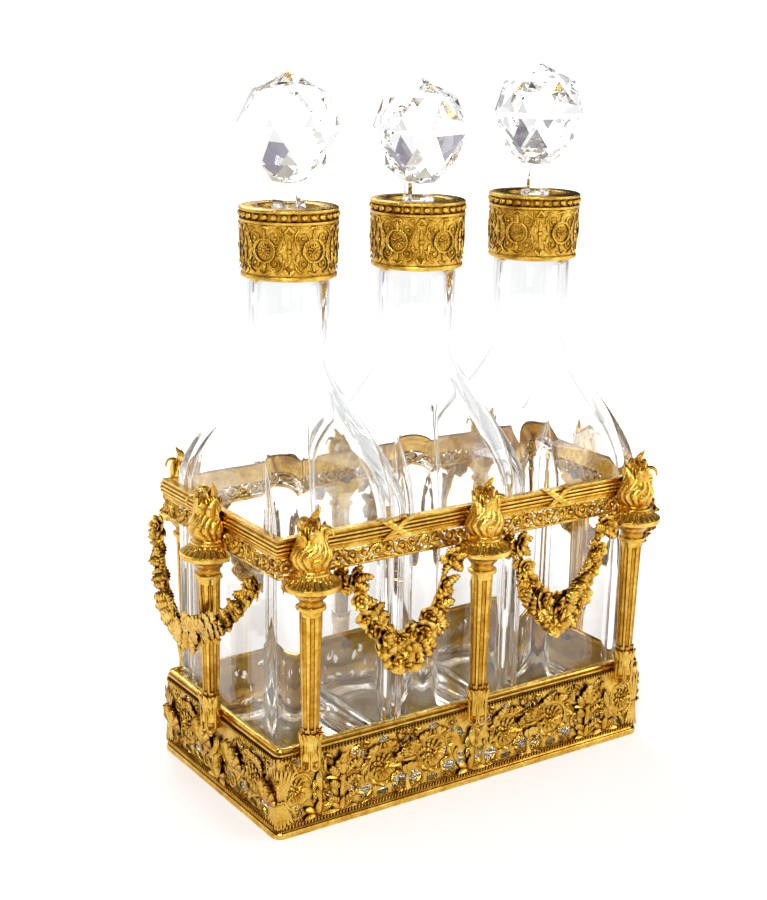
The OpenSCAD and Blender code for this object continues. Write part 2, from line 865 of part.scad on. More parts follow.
// Stopper with a cut ball on a tapered plug; k says which bottle's
module stopper(k) {
    foot = plug_top - bottle_top;
    middle = ball_z + BALL_LIFTS[k];
    rings = concat(
        [for (p = [[foot - 0.02 * plug_h, 0.86 * plug_r1], [foot + 0.2 * plug_h, stem_r],
             [middle + BALL_FOOT * ball_r, stem_r]])
            [for (i = [0:5]) [p[1] * cos(60 * i), p[1] * sin(60 * i), p[0]]]],
        [for (row = BALL_ROWS)
            let (r = row[1] * ball_r, z = middle + row[0] * ball_r)
            [for (i = [0:5]) [r * cos(60 * i + row[2]), r * sin(60 * i + row[2]), z]]]);
    color(GLASS, 0.5)
        translate([PLACES[k], 0, lip_z])
            rotate(TURNS[k]) {
                skin(rings);
                translate([0, 0, foot - plug_h])
                    cylinder(h = plug_h, r1 = plug_r2, r2 = plug_r1);
            }
}

floor_plate();
plinth();
gallery_front();
gallery_back();
gallery_left();
gallery_right();
gallery_cap();
corner_leaves();
torch_shaft(FRONT_LEFT);  // torch_shaft_front_left
torch_shaft(FRONT_MIDDLE);  // torch_shaft_front_middle
torch_shaft(FRONT_RIGHT);  // torch_shaft_front_right
torch_shaft(BACK_LEFT);  // torch_shaft_back_left
torch_shaft(BACK_MIDDLE);  // torch_shaft_back_middle
torch_shaft(BACK_RIGHT);  // torch_shaft_back_right
torch_shaft(SIDE_LEFT);  // torch_shaft_side_left
torch_shaft(SIDE_RIGHT);  // torch_shaft_side_right
torch_cup(FRONT_LEFT);  // torch_cup_front_left
torch_cup(FRONT_MIDDLE);  // torch_cup_front_middle
torch_cup(FRONT_RIGHT);  // torch_cup_front_right
torch_cup(BACK_LEFT);  // torch_cup_back_left
torch_cup(BACK_MIDDLE);  // torch_cup_back_middle
torch_cup(BACK_RIGHT);  // torch_cup_back_right
torch_cup(SIDE_LEFT);  // torch_cup_side_left
torch_cup(SIDE_RIGHT);  // torch_cup_side_right
torch_flame(FRONT_LEFT);  // torch_flame_front_left
torch_flame(FRONT_MIDDLE);  // torch_flame_front_middle
torch_flame(FRONT_RIGHT);  // torch_flame_front_right
torch_flame(BACK_LEFT);  // torch_flame_back_left
torch_flame(BACK_MIDDLE);  // torch_flame_back_middle
torch_flame(BACK_RIGHT);  // torch_flame_back_right
torch_flame(SIDE_LEFT);  // torch_flame_side_left
torch_flame(SIDE_RIGHT);  // torch_flame_side_right
torch_rods();
gallery_screws();
rail_screws();
rail_front();
rail_back();
rail_left();
rail_right();
frieze_front();
frieze_back();
frieze_left();
frieze_right();
ribbon_ties();
swag_front_left();
swag_front_right();
swag_back_left();
swag_back_right();
swag_side_left();
swag_side_right();
bottle(PLACES[0]);  // bottle_left
bottle(PLACES[1]);  // bottle_middle
bottle(PLACES[2]);  // bottle_right
collar(PLACES[0]);  // collar_left
collar(PLACES[1]);  // collar_middle
collar(PLACES[2]);  // collar_right
stopper(0);  // stopper_left
stopper(1);  // stopper_middle
stopper(2);  // stopper_right
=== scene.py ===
import math
import random

import bpy
import numpy as np
from mathutils import Matrix, Vector


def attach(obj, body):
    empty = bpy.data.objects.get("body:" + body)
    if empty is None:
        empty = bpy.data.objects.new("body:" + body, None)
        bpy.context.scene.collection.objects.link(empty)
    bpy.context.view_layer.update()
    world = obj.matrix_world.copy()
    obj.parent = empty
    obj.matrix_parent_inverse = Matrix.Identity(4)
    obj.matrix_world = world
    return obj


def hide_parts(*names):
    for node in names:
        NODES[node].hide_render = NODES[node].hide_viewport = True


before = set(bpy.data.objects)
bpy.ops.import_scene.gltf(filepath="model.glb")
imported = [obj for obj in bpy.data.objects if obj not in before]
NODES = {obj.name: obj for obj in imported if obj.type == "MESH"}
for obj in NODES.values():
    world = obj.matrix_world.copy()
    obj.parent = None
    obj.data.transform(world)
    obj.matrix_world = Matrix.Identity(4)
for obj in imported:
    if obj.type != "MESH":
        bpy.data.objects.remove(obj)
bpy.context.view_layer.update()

# Sizes in mm, as in the CAD
MM = 0.001                   # Blender works in metres
STAND = (110, 57.5)          # half length and half depth of the plinth
PANEL = (108, 55.5)          # outer faces of the gallery and of the frieze
CAP = (108.5, 56)            # outer faces of the moulding on the gallery
PLINTH_CORNER, CAP_CORNER, FRIEZE_CORNER = 5, 3.5, 0.3
PLINTH_TOP = 4.6
CAP_FOOT, CAP_TOP = 39.8, 43.8
WALL_MIDDLE = 22.2
FRIEZE_FOOT, FRIEZE_MIDDLE, RAIL_FOOT = 124.8, 129.8, 134.3
SHAFT_TOP, CUP_TOP = 110.5, 129.5
SOCKET_FOOT = 32
BOTTLE_FOOT, COLLAR_FOOT = 6.6, 246
PITCH = 209 / 3              # from one bottle to the next
BOTTLES = {"left": -PITCH, "middle": 0, "right": PITCH}
TORCHES = {
    "front_left": (-93.5, -59.5, 0), "front_middle": (0, -59.5, 0), "front_right": (93.5, -59.5, 0),
    "back_left": (-93.5, 59.5, 180), "back_middle": (0, 59.5, 180), "back_right": (93.5, 59.5, 180),
    "side_left": (-112, 0, -90), "side_right": (112, 0, 90)}
WALLS = {"front": 0, "back": 180, "left": -90, "right": 90}

# The bench: shapes are modelled in mm at the origin and kept on a shelf, from where they are copied
SHAPES = {}
FLIP = Matrix.Diagonal((-1, 1, 1, 1))


def alone(add, **how):
    """A new primitive with nothing else selected."""
    bpy.ops.object.select_all(action="DESELECT")
    add(**how)
    return bpy.context.object


def pick(*pieces):
    """Selects these pieces and nothing else; the first one is the active one."""
    bpy.ops.object.select_all(action="DESELECT")
    for piece in pieces:
        piece.select_set(True)
    bpy.context.view_layer.objects.active = pieces[0]


def edit(work, *how, **words):
    """One edit-mode operator on everything in the active piece."""
    bpy.ops.object.mode_set(mode="EDIT")
    bpy.ops.mesh.select_all(action="SELECT")
    work(*how, **words)
    bpy.ops.object.mode_set(mode="OBJECT")


def mould(piece, move):
    """Moves the piece's points by a function of their x, y and z."""
    co = np.empty(len(piece.data.vertices) * 3)
    piece.data.vertices.foreach_get("co", co)
    x, y, z = co.reshape(-1, 3).T
    piece.data.vertices.foreach_set("co", np.array(move(x, y, z)).T.ravel())
    piece.data.update()
    return piece


def finish_with(piece, kind, **settings):
    """Adds one modifier and applies it."""
    bpy.context.view_layer.objects.active = piece
    piece.select_set(True)
    m = piece.modifiers.new(kind.title(), kind)
    for key, value in settings.items():
        setattr(m, key, value)
    bpy.ops.object.modifier_apply(modifier=m.name)


def keep(name, piece):
    """Puts a finished shape on the shelf, to be copied from there."""
    mesh = piece.data
    co = np.empty(len(mesh.vertices) * 3)
    mesh.vertices.foreach_get("co", co)
    corners = np.empty(len(mesh.loops), int)
    mesh.loops.foreach_get("vertex_index", corners)
    sizes = np.empty(len(mesh.polygons), int)
    mesh.polygons.foreach_get("loop_total", sizes)
    SHAPES[name] = (co.reshape(-1, 3), corners, sizes)
    bpy.data.objects.remove(piece)
    bpy.data.meshes.remove(mesh)


def gather(copies):
    """Points, corners and face sizes of many copies of the shelf's shapes in one mesh."""
    points, corners, sizes, base = [], [], [], 0
    for name, place in copies:
        co, ring, count = SHAPES[name]
        m = np.array(place)
        points.append(co @ m[:3, :3].T + m[:3, 3])
        if np.linalg.det(m[:3, :3]) < 0:
            ring, count = ring[::-1], count[::-1]
        corners.append(ring + base)
        sizes.append(count)
        base += len(co)
    return np.vstack(points), np.concatenate(corners), np.concatenate(sizes)


def mesh_of(name, points, corners, sizes):
    """A new object with this mesh."""
    mesh = bpy.data.meshes.new(name)
    mesh.vertices.add(len(points))
    mesh.vertices.foreach_set("co", points.ravel())
    mesh.loops.add(len(corners))
    mesh.loops.foreach_set("vertex_index", corners)
    mesh.polygons.add(len(sizes))
    mesh.polygons.foreach_set("loop_start", np.concatenate([[0], np.cumsum(sizes)[:-1]]))
    mesh.polygons.foreach_set("loop_total", sizes)
    mesh.update(calc_edges=True)
    piece = bpy.data.objects.new(name, mesh)
    bpy.context.scene.collection.objects.link(piece)
    return piece


def group(name, copies):
    """Several copies on the shelf as one new shape."""
    SHAPES[name] = gather(copies)


def reshape(name, move):
    """Moves the points of a shape on the shelf by a function of their x, y and z."""
    points, corners, sizes = SHAPES[name]
    SHAPES[name] = (np.array(move(*points.T)).T, corners, sizes)


def piece_from(name, copies, body, material, stands_for=(), angle=40):
    """A finished piece of the object, brought from the bench's mm to metres."""
    points, corners, sizes = gather(copies)
    piece = mesh_of(name, points * MM, corners, sizes)
    pick(piece)
    bpy.ops.object.shade_smooth_by_angle(angle=math.radians(angle))
    piece.data.materials.append(material)
    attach(piece, body)
    if stands_for:
        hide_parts(*stands_for)


def at(x=0, y=0, z=0, size=1, turn=0, lean=0, face=0):
    """A copy's place. Turn goes clockwise in the wall's plane, lean brings its top forward, face
    turns it round the upright."""
    size = size if isinstance(size, tuple) else (size, size, size)
    return (Matrix.Translation((x, y, z)) @ Matrix.Rotation(math.radians(face), 4, "Z")
            @ Matrix.Rotation(math.radians(lean), 4, "X") @ Matrix.Rotation(math.radians(turn), 4, "Y")
            @ Matrix.Diagonal((*size, 1)))


def moved(copies, *frames):
    """The copies, each in every one of the frames."""
    return [(name, f @ place) for f in frames for name, place in copies]


def both(copies):
    """The copies and their mirror images across the middle."""
    return copies + [(name, FLIP @ place) for name, place in copies]


def wall(side):
    """The turn that brings what was made for the front to this side of the stand."""
    return Matrix.Rotation(math.radians(WALLS[side]), 4, "Z")


def torch(name):
    """The place of a torch, with its front turned outwards."""
    x, y, face = TORCHES[name]
    return at(x, y, 0, face=face)


def on_circle(radius, angle):
    """x and y at this angle round an upright; 0 is the side towards the eye."""
    a = math.radians(angle)
    return radius * math.sin(a), -radius * math.cos(a)


def wire(name, points, radii, sides=2):
    """A round bar along points, thick and thin by its radii."""
    curve = bpy.data.curves.new(name, "CURVE")
    curve.dimensions = "3D"
    curve.bevel_depth = 1
    curve.bevel_resolution = sides
    curve.use_fill_caps = True
    line = curve.splines.new("POLY")
    line.points.add(len(points) - 1)
    for p, co, r in zip(line.points, points, radii):
        p.co = (*co, 1)
        p.radius = r
    piece = bpy.data.objects.new(name, curve)
    bpy.context.scene.collection.objects.link(piece)
    pick(piece)
    bpy.ops.object.convert(target="MESH")
    piece = bpy.context.object
    edit(bpy.ops.mesh.remove_doubles, threshold=0.001)
    keep(name, piece)


def drawn_up(plan, levels, closed=False):
    """The plan's ring of edges drawn up level by level. A level is its scale across, its scale in
    depth and its height. A closed profile joins its last ring to the first."""
    bpy.ops.object.mode_set(mode="EDIT")
    bpy.ops.mesh.select_all(action="SELECT")
    was = (1, 1, 0)
    for i, now in enumerate(levels):
        if i:
            bpy.ops.mesh.extrude_region_move(TRANSFORM_OT_translate={"value": (0, 0, now[2] - was[2])})
        else:
            bpy.ops.transform.translate(value=(0, 0, now[2]))
        bpy.ops.transform.resize(value=(now[0] / was[0], now[1] / was[1], 1), center_override=(0, 0, now[2]))
        was = now
    bpy.ops.mesh.select_all(action="SELECT")
    if not closed:
        bpy.ops.mesh.region_to_loop()
        bpy.ops.mesh.fill_holes(sides=0)
        bpy.ops.mesh.select_all(action="SELECT")
    bpy.ops.mesh.remove_doubles(threshold=0.0005)
    bpy.ops.mesh.select_all(action="SELECT")
    bpy.ops.mesh.normals_make_consistent(inside=False)
    bpy.ops.object.mode_set(mode="OBJECT")
    return plan


def turned(name, profile, steps=40, closed=False):
    """A turned shape from radius and height pairs."""
    ring = alone(bpy.ops.mesh.primitive_circle_add, vertices=steps, radius=1)
    piece = drawn_up(ring, [(max(r, 0.0004), max(r, 0.0004), z) for r, z in profile], closed)
    if name:
        keep(name, piece)
    return piece


def round_frame(name, half, corner, profile):
    """A moulding that runs round a rectangle with round corners. The profile is the distance
    outside the outline and the height."""
    plan = alone(bpy.ops.mesh.primitive_plane_add, size=2)
    mould(plan, lambda x, y, z: (x * half[0], y * half[1], z))
    edit(bpy.ops.mesh.bevel, offset=corner, segments=6, affect="VERTICES")
    edit(bpy.ops.mesh.delete, type="ONLY_FACE")
    levels = [((half[0] + out) / half[0], (half[1] + out) / half[1], z) for out, z in profile]
    keep(name, drawn_up(plan, levels, closed=True))


def row_round(half, corner, pitch):
    """Even places along a rectangle with round corners, with the way that each faces."""
    a, b = half[0] - corner, half[1] - corner
    arc = math.pi * corner / 2
    runs = [2 * a, arc, 2 * b, arc, 2 * a, arc, 2 * b, arc]
    total = sum(runs)
    count = round(total / pitch)
    places = []
    for k in range(count):
        s = (k + 0.5) * total / count
        i = 0
        while s > runs[i]:
            s -= runs[i]
            i += 1
        side, bend = divmod(i, 2)
        along, out = (a, b) if side % 2 == 0 else (b, a)
        if bend:
            t = s / corner
            u = (along + corner * math.sin(t), -out - corner * math.cos(t))
            face = math.degrees(t)
        else:
            u = (-runs[i] / 2 + s, -out - corner)
            face = 0
        v = Matrix.Rotation(math.radians(90 * side), 3, "Z") @ Vector((*u, 0))
        places.append((v.x, v.y, 90 * side + face))
    return places


# Finishes
def colour(code):
    """An sRGB hex value as the linear colour that a node takes."""
    parts = [int(code[i:i + 2], 16) / 255 for i in (1, 3, 5)]
    return [p / 12.92 if p <= 0.04045 else ((p + 0.055) / 1.055) ** 2.4 for p in parts] + [1]


def per_mm(size):
    """The scale of a texture whose features are this many mm apart."""
    return 1000 / size


def finish(name):
    """A new material with its shader node and its tree."""
    m = bpy.data.materials.new(name)
    m.use_nodes = True
    return m, m.node_tree, m.node_tree.nodes["Principled BSDF"]


def add(tree, kind, settings=(), **links):
    """One node with its settings; each link is an input's name and what goes into it."""
    node = tree.nodes.new(kind)
    for key, value in dict(settings).items():
        if isinstance(key, str) and hasattr(node, key):
            setattr(node, key, value)
        else:
            node.inputs[key].default_value = value
    for socket, source in links.items():
        socket = socket.replace("_", " ")
        target = node.inputs[int(socket[1:])] if socket[0] == "i" and socket[1:].isdigit() else node.inputs[socket]
        tree.links.new(source, target)
    return node


def ramp(tree, source, stops):
    """A colour ramp over a value, from (place, hex) pairs."""
    node = add(tree, "ShaderNodeValToRGB", Fac=source)
    band = node.color_ramp.elements
    while len(band) < len(stops):
        band.new(0.5)
    for e, (place, code) in zip(band, stops):
        e.position = place
        e.color = colour(code)
    return node.outputs["Color"]


def gilt(name, deep_shade, shade, body, high, rough, grain, strength, reach):
    """Fire-gilt bronze: warm yellow on the open, rubbed surfaces and brown-red in the hollows, where ambient
    occlusion paints shade into the colour; the brown-red also stands for dirt and thin gilding left there."""
    m, tree, bsdf = finish(name)
    place = add(tree, "ShaderNodeTexCoord").outputs["Object"]
    # how closed in the surface is here; it darkens the colour below as painted shade
    hollow = add(tree, "ShaderNodeAmbientOcclusion",
                 {"samples": 6, "only_local": True, "Distance": reach * MM}).outputs["AO"]
    cloud = add(tree, "ShaderNodeTexNoise", {"Scale": per_mm(7), "Detail": 5.0, "Roughness": 0.65},
                Vector=place).outputs["Fac"]
    cast = add(tree, "ShaderNodeTexNoise", {"Scale": per_mm(grain), "Detail": 5.0, "Roughness": 0.6},
               Vector=place).outputs["Fac"]
    # the painted shade in the hollows, from ambient occlusion, weighs most, and clouds of wear and the grain of
    # the casting break it up
    worn_and_shaded = add(tree, "ShaderNodeMath", {"operation": "MULTIPLY_ADD", 1: 0.7}, i0=cloud, i2=hollow).outputs[0]
    fine = add(tree, "ShaderNodeMath", {"operation": "MULTIPLY_ADD", 1: 0.45}, i0=cast, i2=worn_and_shaded).outputs[0]
    level = add(tree, "ShaderNodeMapRange", {"From Min": 0.85, "From Max": 1.72}, Value=fine).outputs[0]
    tint = ramp(tree, level, [(0.0, deep_shade), (0.3, shade), (0.68, body), (1.0, high)])
    tree.links.new(tint, bsdf.inputs["Base Color"])
    dull = add(tree, "ShaderNodeMapRange", {"To Min": rough + 0.2, "To Max": rough}, Value=level).outputs[0]
    tree.links.new(dull, bsdf.inputs["Roughness"])
    bump = add(tree, "ShaderNodeBump", {"Strength": strength, "Distance": 0.0005}, Height=cast)
    tree.links.new(bump.outputs[0], bsdf.inputs["Normal"])
    bsdf.inputs["Metallic"].default_value = 1
    return m


def glass(name, tint, wave, strength):
    """Lead glass, colourless, with the faint unevenness of its making."""
    m, tree, bsdf = finish(name)
    place = add(tree, "ShaderNodeTexCoord").outputs["Object"]
    flow = add(tree, "ShaderNodeTexNoise", {"Scale": per_mm(wave), "Detail": 2.0}, Vector=place).outputs["Fac"]
    bump = add(tree, "ShaderNodeBump", {"Strength": strength, "Distance": 0.0006}, Height=flow)
    tree.links.new(bump.outputs[0], bsdf.inputs["Normal"])
    bsdf.inputs["Base Color"].default_value = colour(tint)
    bsdf.inputs["Roughness"].default_value = 0
    bsdf.inputs["IOR"].default_value = 1.52
    bsdf.inputs["Transmission Weight"].default_value = 1
    return m


# In each gilt the first two colours are painted shade for the hollows, the third is its body and the last its
# lightest open tone
GILT = gilt("fire_gilt_cast_bronze", "#1E0900", "#7A4206", "#CE9622", "#FADA74", 0.16, 0.9, 0.45, 2.4)
COLLAR_GILT = gilt("gilt_embossed_brass", "#240F00", "#724206", "#B98622", "#F2CA5C", 0.2, 0.7, 0.6, 1.6)
PLAIN_GILT = gilt("gilt_burnished_bronze", "#2A1100", "#7E4808", "#C48E24", "#F6D26A", 0.13, 1.6, 0.2, 2.4)
BOTTLE_GLASS = glass("lead_glass_blown", "#FDFEFE", 34, 0.12)
STOPPER_GLASS = glass("lead_glass_cut", "#FDFEFE", 60, 0.02)

# Rolled brass sheet with thin gilding: pale gold, satin, with darker clouds
FLOOR_GILT, tree, bsdf = finish("gilt_rolled_brass")
place = add(tree, "ShaderNodeTexCoord").outputs["Object"]
cloud = add(tree, "ShaderNodeTexNoise", {"Scale": per_mm(18), "Detail": 5.0, "Roughness": 0.6},
            Vector=place).outputs["Fac"]
tree.links.new(ramp(tree, cloud, [(0.3, "#A88A44"), (0.5, "#DCBC64"), (0.72, "#F4DE96")]),
               bsdf.inputs["Base Color"])
rubbed = add(tree, "ShaderNodeMapRange", {"To Min": 0.5, "To Max": 0.7}, Value=cloud).outputs[0]
tree.links.new(rubbed, bsdf.inputs["Roughness"])
bsdf.inputs["Metallic"].default_value = 1

# Turned steel screws and rods, hidden: grey with fine rings
STEEL, tree, bsdf = finish("turned_steel")
place = add(tree, "ShaderNodeTexCoord").outputs["Object"]
rings = add(tree, "ShaderNodeTexNoise", {"Scale": per_mm(0.8), "Detail": 3.0}, Vector=place).outputs["Fac"]
tree.links.new(ramp(tree, rings, [(0.3, "#5E584A"), (0.7, "#A29A84")]), bsdf.inputs["Base Color"])
bsdf.inputs["Metallic"].default_value = 1
bsdf.inputs["Roughness"].default_value = 0.38

# What each CAD piece is made of, by how its name starts; the last that fits counts
NODE_MATERIALS = (("", GILT), ("rail_", PLAIN_GILT), ("gallery_cap", PLAIN_GILT), ("plinth", PLAIN_GILT),
                  ("torch_shaft", PLAIN_GILT), ("bottle_", BOTTLE_GLASS), ("stopper_", STOPPER_GLASS),
                  ("collar_", COLLAR_GILT), ("floor_plate", FLOOR_GILT), ("torch_rods", STEEL),
                  ("gallery_screws", STEEL), ("rail_screws", STEEL))
for name, node in NODES.items():
    for s in node.material_slots:
        s.material = [material for start, material in NODE_MATERIALS if name.startswith(start)][-1]


def on_stand(name, copies, stands_for=(), metal=GILT, angle=40):
    """A cast and gilt piece of the stand."""
    piece_from(name, copies, "stand", metal, stands_for, angle)


# Ornament shapes: they face -Y, grow up +Z and are about 1 long, and each copy has its own size
ball = alone(bpy.ops.mesh.primitive_uv_sphere_add, segments=8, ring_count=5, radius=1)
keep("bead", mould(ball, lambda x, y, z: (x, y * 0.9, z)))

flake = alone(bpy.ops.mesh.primitive_uv_sphere_add, segments=8, ring_count=6, radius=0.5)
mould(flake, lambda x, y, z: (x * (0.75 + 0.5 * (z + 0.5)), y * 0.26, z + 0.5))
keep("petal", mould(flake, lambda x, y, z: (x, y - 0.55 * x * x - 0.32 * z ** 3, z)))


def blade(name, across, along, width, lobes, depth, curl, thick=0.07):
    """A leaf with its midrib towards the eye: a flat grid drawn in to its outline, cut into lobes,
    with its tip curled forward."""
    sheet = alone(bpy.ops.mesh.primitive_grid_add, x_subdivisions=across, y_subdivisions=along, size=1)
    cut = 1 if lobes else 0

    def outline(x, y, z):
        t = np.clip(y + 0.5, 0, 1)
        u = 2 * x
        off = np.abs(u)
        w = width * np.sin(np.pi * np.clip(t * 0.97 + 0.02, 0, 1) ** 0.8) ** 0.75
        w = w * (1 - depth * (0.5 - 0.5 * np.cos(2 * np.pi * lobes * t)) * off ** 2)
        swept = 0.16 * off ** 1.5 * cut * width
        midrib = -0.2 * (1 - off) ** 0.8 * np.sin(np.pi * t) ** 0.7
        ripple = 0.08 * np.cos(np.pi * lobes * t * 2) * off * cut
        return (u * w / 2, midrib - ripple - curl * t ** 3, t + swept * np.sin(np.pi * t))

    mould(sheet, outline)
    finish_with(sheet, "SOLIDIFY", thickness=thick, offset=1)
    edit(bpy.ops.mesh.normals_make_consistent, inside=False)
    keep(name, sheet)


blade("leaf", 4, 7, 0.46, 0, 0, 0.22)
blade("lobed_leaf", 6, 20, 0.62, 5, 0.45, 0.3)


def copy_of(shape):
    """A function that places a copy of the shape, with what at() takes."""
    return lambda *place, **turns: (shape, at(*place, **turns))


bead, petal, leaf, lobed_leaf, volute = map(copy_of, ("bead", "petal", "leaf", "lobed_leaf", "volute"))

# Flowers: petals or leaves in rings round a bead
bud = [bead(0, -0.3, 0, 0.42)]
for k in range(5):
    bud.append(petal(0, 0, 0, (0.9, 1.1, 0.95), turn=72 * k))
group("small_rose", bud)
dahlia = [bead(0, -0.4, 0, 0.17)]
for count, length, broad, forward, off in ((6, 1.0, 1.75, 10, 0), (5, 0.78, 1.5, 36, 25), (4, 0.5, 1.1, 60, 8)):
    for k in range(count):
        place = at(0, -0.04, 0, turn=360 * k / count + off)
        dahlia.append(("leaf", place @ at(size=(broad, length, length), lean=forward)))
group("dahlia", dahlia)
lily = [bead(0, -0.25, 0, 0.16)]
for k in range(4):
    lily.append(("leaf", at(turn=90 * k) @ at(size=(2.0, 1.6, 1), lean=12)))
    lily.append(("leaf", at(0, -0.12, 0, turn=90 * k + 45) @ at(size=(1.3, 1, 0.6), lean=42)))
group("lily", lily)


def spiral(cx, cz, r0, r1, t0, t1, steps):
    """Points of a spiral in the wall's plane, radius r0 at angle t0 to r1 at t1."""
    out = []
    for k in range(steps + 1):
        f = k / steps
        t = math.radians(t0 + (t1 - t0) * f)
        r = r0 + (r1 - r0) * f
        out.append((cx + r * math.cos(t), 0, cz + r * math.sin(t)))
    return out


# Scrolls
half_s = spiral(-3.1, 0, 0.7, 3.1, -470, 0, 26)
s_line = half_s + [(-x, 0, -z) for x, _, z in half_s[-2::-1]]
wire("s_scroll", s_line, [0.5 + 0.42 * math.sin(math.pi * k / (len(s_line) - 1)) for k in range(len(s_line))],
     sides=2)
group("running_scroll", [("s_scroll", at()), bead(-3.1, -0.3, 0, 1.25), bead(3.1, -0.3, 0, 1.25),
                         leaf(0.6, -0.3, 0.4, 4.4, turn=44), leaf(-0.6, -0.3, -0.4, 4.4, turn=224),
                         leaf(-5.0, -0.1, 1.0, 4, turn=-60), leaf(5.0, -0.1, -1.0, 4, turn=120),
                         leaf(-2.2, -0.2, 2.4, 3.6, turn=64), leaf(2.2, -0.2, -2.4, 3.6, turn=244),
                         leaf(-4.4, -0.1, -2.2, 3.2, turn=-140), leaf(4.4, -0.1, 2.2, 3.2, turn=40)])

ring_line = spiral(0, 0, 1.0, 0.98, -130, 190, 40) + spiral(-0.62, -0.17, 0.36, 0.12, 190, 460, 14)[1:]
wire("c_scroll", ring_line, [0.05 + 0.085 * math.sin(math.pi * min(1, k / 44)) for k in range(len(ring_line))],
     sides=2)
volute_line = spiral(0, 0, 1, 0.12, 90, -430, 26)
wire("volute", volute_line, [0.16 - 0.004 * k for k in range(len(volute_line))], sides=1)

turned("urn", [(0.0, 0), (3.3, 0), (3.3, 0.8), (2.3, 1.8), (1.3, 4), (1.0, 7.5), (1.3, 9), (2.4, 9.6),
               (2.5, 10.4), (1.7, 11), (3.2, 13), (4.2, 15.2), (4.4, 16.6), (5.4, 17.2), (5.6, 18), (4.9, 18.6),
               (0.0, 18.8)], steps=20)

# Plinth and cap: a moulding with a row of beads
round_frame("plinth_moulding", STAND, PLINTH_CORNER, [(-9, 0), (-0.4, 0), (0, 0.4), (0, 2.5), (-0.3, 3.0),
                                                      (-0.8, 3.1), (-0.8, 3.5), (-1.2, 4.0), (-1.6, PLINTH_TOP),
                                                      (-9, PLINTH_TOP), (-9, 0)])
round_frame("cap_moulding", CAP, CAP_CORNER, [(-4, CAP_FOOT), (-0.9, CAP_FOOT), (-0.3, 40.2), (0, 40.9),
                                              (-0.1, 41.5), (-0.5, 41.9), (-0.9, 42.1), (-0.9, 42.5),
                                              (-0.6, 42.9), (-0.9, 43.5), (-1.6, CAP_TOP), (-3.2, CAP_TOP),
                                              (-3.8, 43.5), (-4, 43), (-4, CAP_FOOT)])
round_frame("bead_ground", CAP, CAP_CORNER, [(-1.6, 37.4), (-0.7, 37.4), (-0.7, CAP_FOOT), (-1.6, CAP_FOOT),
                                             (-1.6, 37.4)])
BEAD_PITCH, BEAD_SIZE = 1.7, (0.6, 1.0, 1.15)


def bead_row(half, corner, z):
    """Beads side by side round the stand at this height."""
    return [bead(x, y, z, BEAD_SIZE, face=face) for x, y, face in row_round(half, corner, BEAD_PITCH)]


on_stand("plinth_band", [("plinth_moulding", at())] + bead_row((109.1, 56.6), 4, 5.6), ["plinth"], PLAIN_GILT,
         angle=35)
on_stand("cap_band", [("cap_moulding", at()), ("bead_ground", at())] + bead_row((108.3, 55.8), 3, 38.7),
         ["gallery_cap"], PLAIN_GILT, angle=35)

# Gallery panels: the ornaments first, each about as tall as the panel
low_flower = []
for count, length, depth, off in ((11, 6.5, 0.2, 0), (9, 5.0, -0.35, 17), (7, 3.5, -0.8, 5),
                                  (4, 2.1, -1.1, 30)):
    for k in range(count):
        low_flower.append(leaf(0, depth, 0, (length * 0.86, 3.2, length), turn=360 * k / count + off))
low_flower.append(bead(0, -1.7, 0, (0.9, 0.6, 0.9)))
group("low_flower", low_flower)
wire("branch", spiral(0, 0, 1.0, 0.96, -160, 150, 40),
     [0.055 + 0.05 * math.sin(math.pi * k / 40) for k in range(41)], sides=2)
flower = [("low_flower", at()), ("branch", at(0, 0.1, 0, (8.8, 7, 8.8), turn=-28))]
for a, size, off in ((-60, 6.0, 58), (-34, 6.6, 66), (-8, 6.2, -62), (18, 6.6, 60), (44, 6.2, -66),
                     (70, 6.0, 62), (96, 4.6, 76), (-88, 4.8, -70), (128, 4.0, 100), (-126, 4.2, -96),
                     (160, 3.6, 84), (198, 3.6, -84)):
    x, z = 8.9 * math.sin(math.radians(a)), 8.9 * math.cos(math.radians(a))
    flower.append(("lobed_leaf" if size > 5.5 else "leaf", at(x, 0, z, (size * 0.95, 4, size), turn=a + off)))
    flower.append(leaf(x, -0.1, z, (size * 0.6, 4, size * 0.62), turn=a - off * 0.5))
for sx in (-1, 1):
    flower += [volute(sx * 10.6, 0, 13.0, (sx * 2.6, 3, 2.6)), bead(sx * 10.6, -0.3, 13.0, 0.9),
               leaf(sx * 7.6, 0.1, 13.4, (3.6, 3, 4), turn=sx * 62),
               leaf(sx * 12.4, 0.1, 8.4, (3.4, 3, 4.6), turn=sx * 20),
               leaf(sx * 12.6, 0, -4.2, (3.8, 3, 5), turn=sx * 150),
               leaf(sx * 13.6, 0.4, -17, (2.4, 4, 7.6), turn=-sx * 30),
               leaf(sx * 12.4, 0.4, -17, (2.2, 4, 6), turn=-sx * 62),
               volute(sx * 7.0, 0.3, -12.6, (-sx * 2.2, 3, -2.4)),
               leaf(sx * 5.6, 0.3, -10.4, (2.2, 3, 4.6), turn=sx * 128),
               leaf(sx * 12.8, 0, -5, (3.4, 3, 4.4), turn=sx * 24)]
group("flower_in_scroll", flower)
end_flower = [("low_flower", at(size=(0.86, 0.9, 0.92))), ("branch", at(-1.4, 0.1, -1, (7, 6, 9), turn=-20)),
              leaf(-1, 0, 8, (4, 4, 7), turn=24), leaf(1, 0, 8, (4, 4, 6), turn=-30),
              leaf(4, 0, 9, (3, 4, 5), turn=10), leaf(-2, 0, -8, (4, 4, 7), turn=150),
              leaf(2, 0, -8, (4, 4, 6), turn=200), volute(3, 0, -13.4, (2.6, 4, -2.6)),
              volute(1, 0, 14.4, (2.2, 4, 2.2))]
group("end_flower", end_flower)

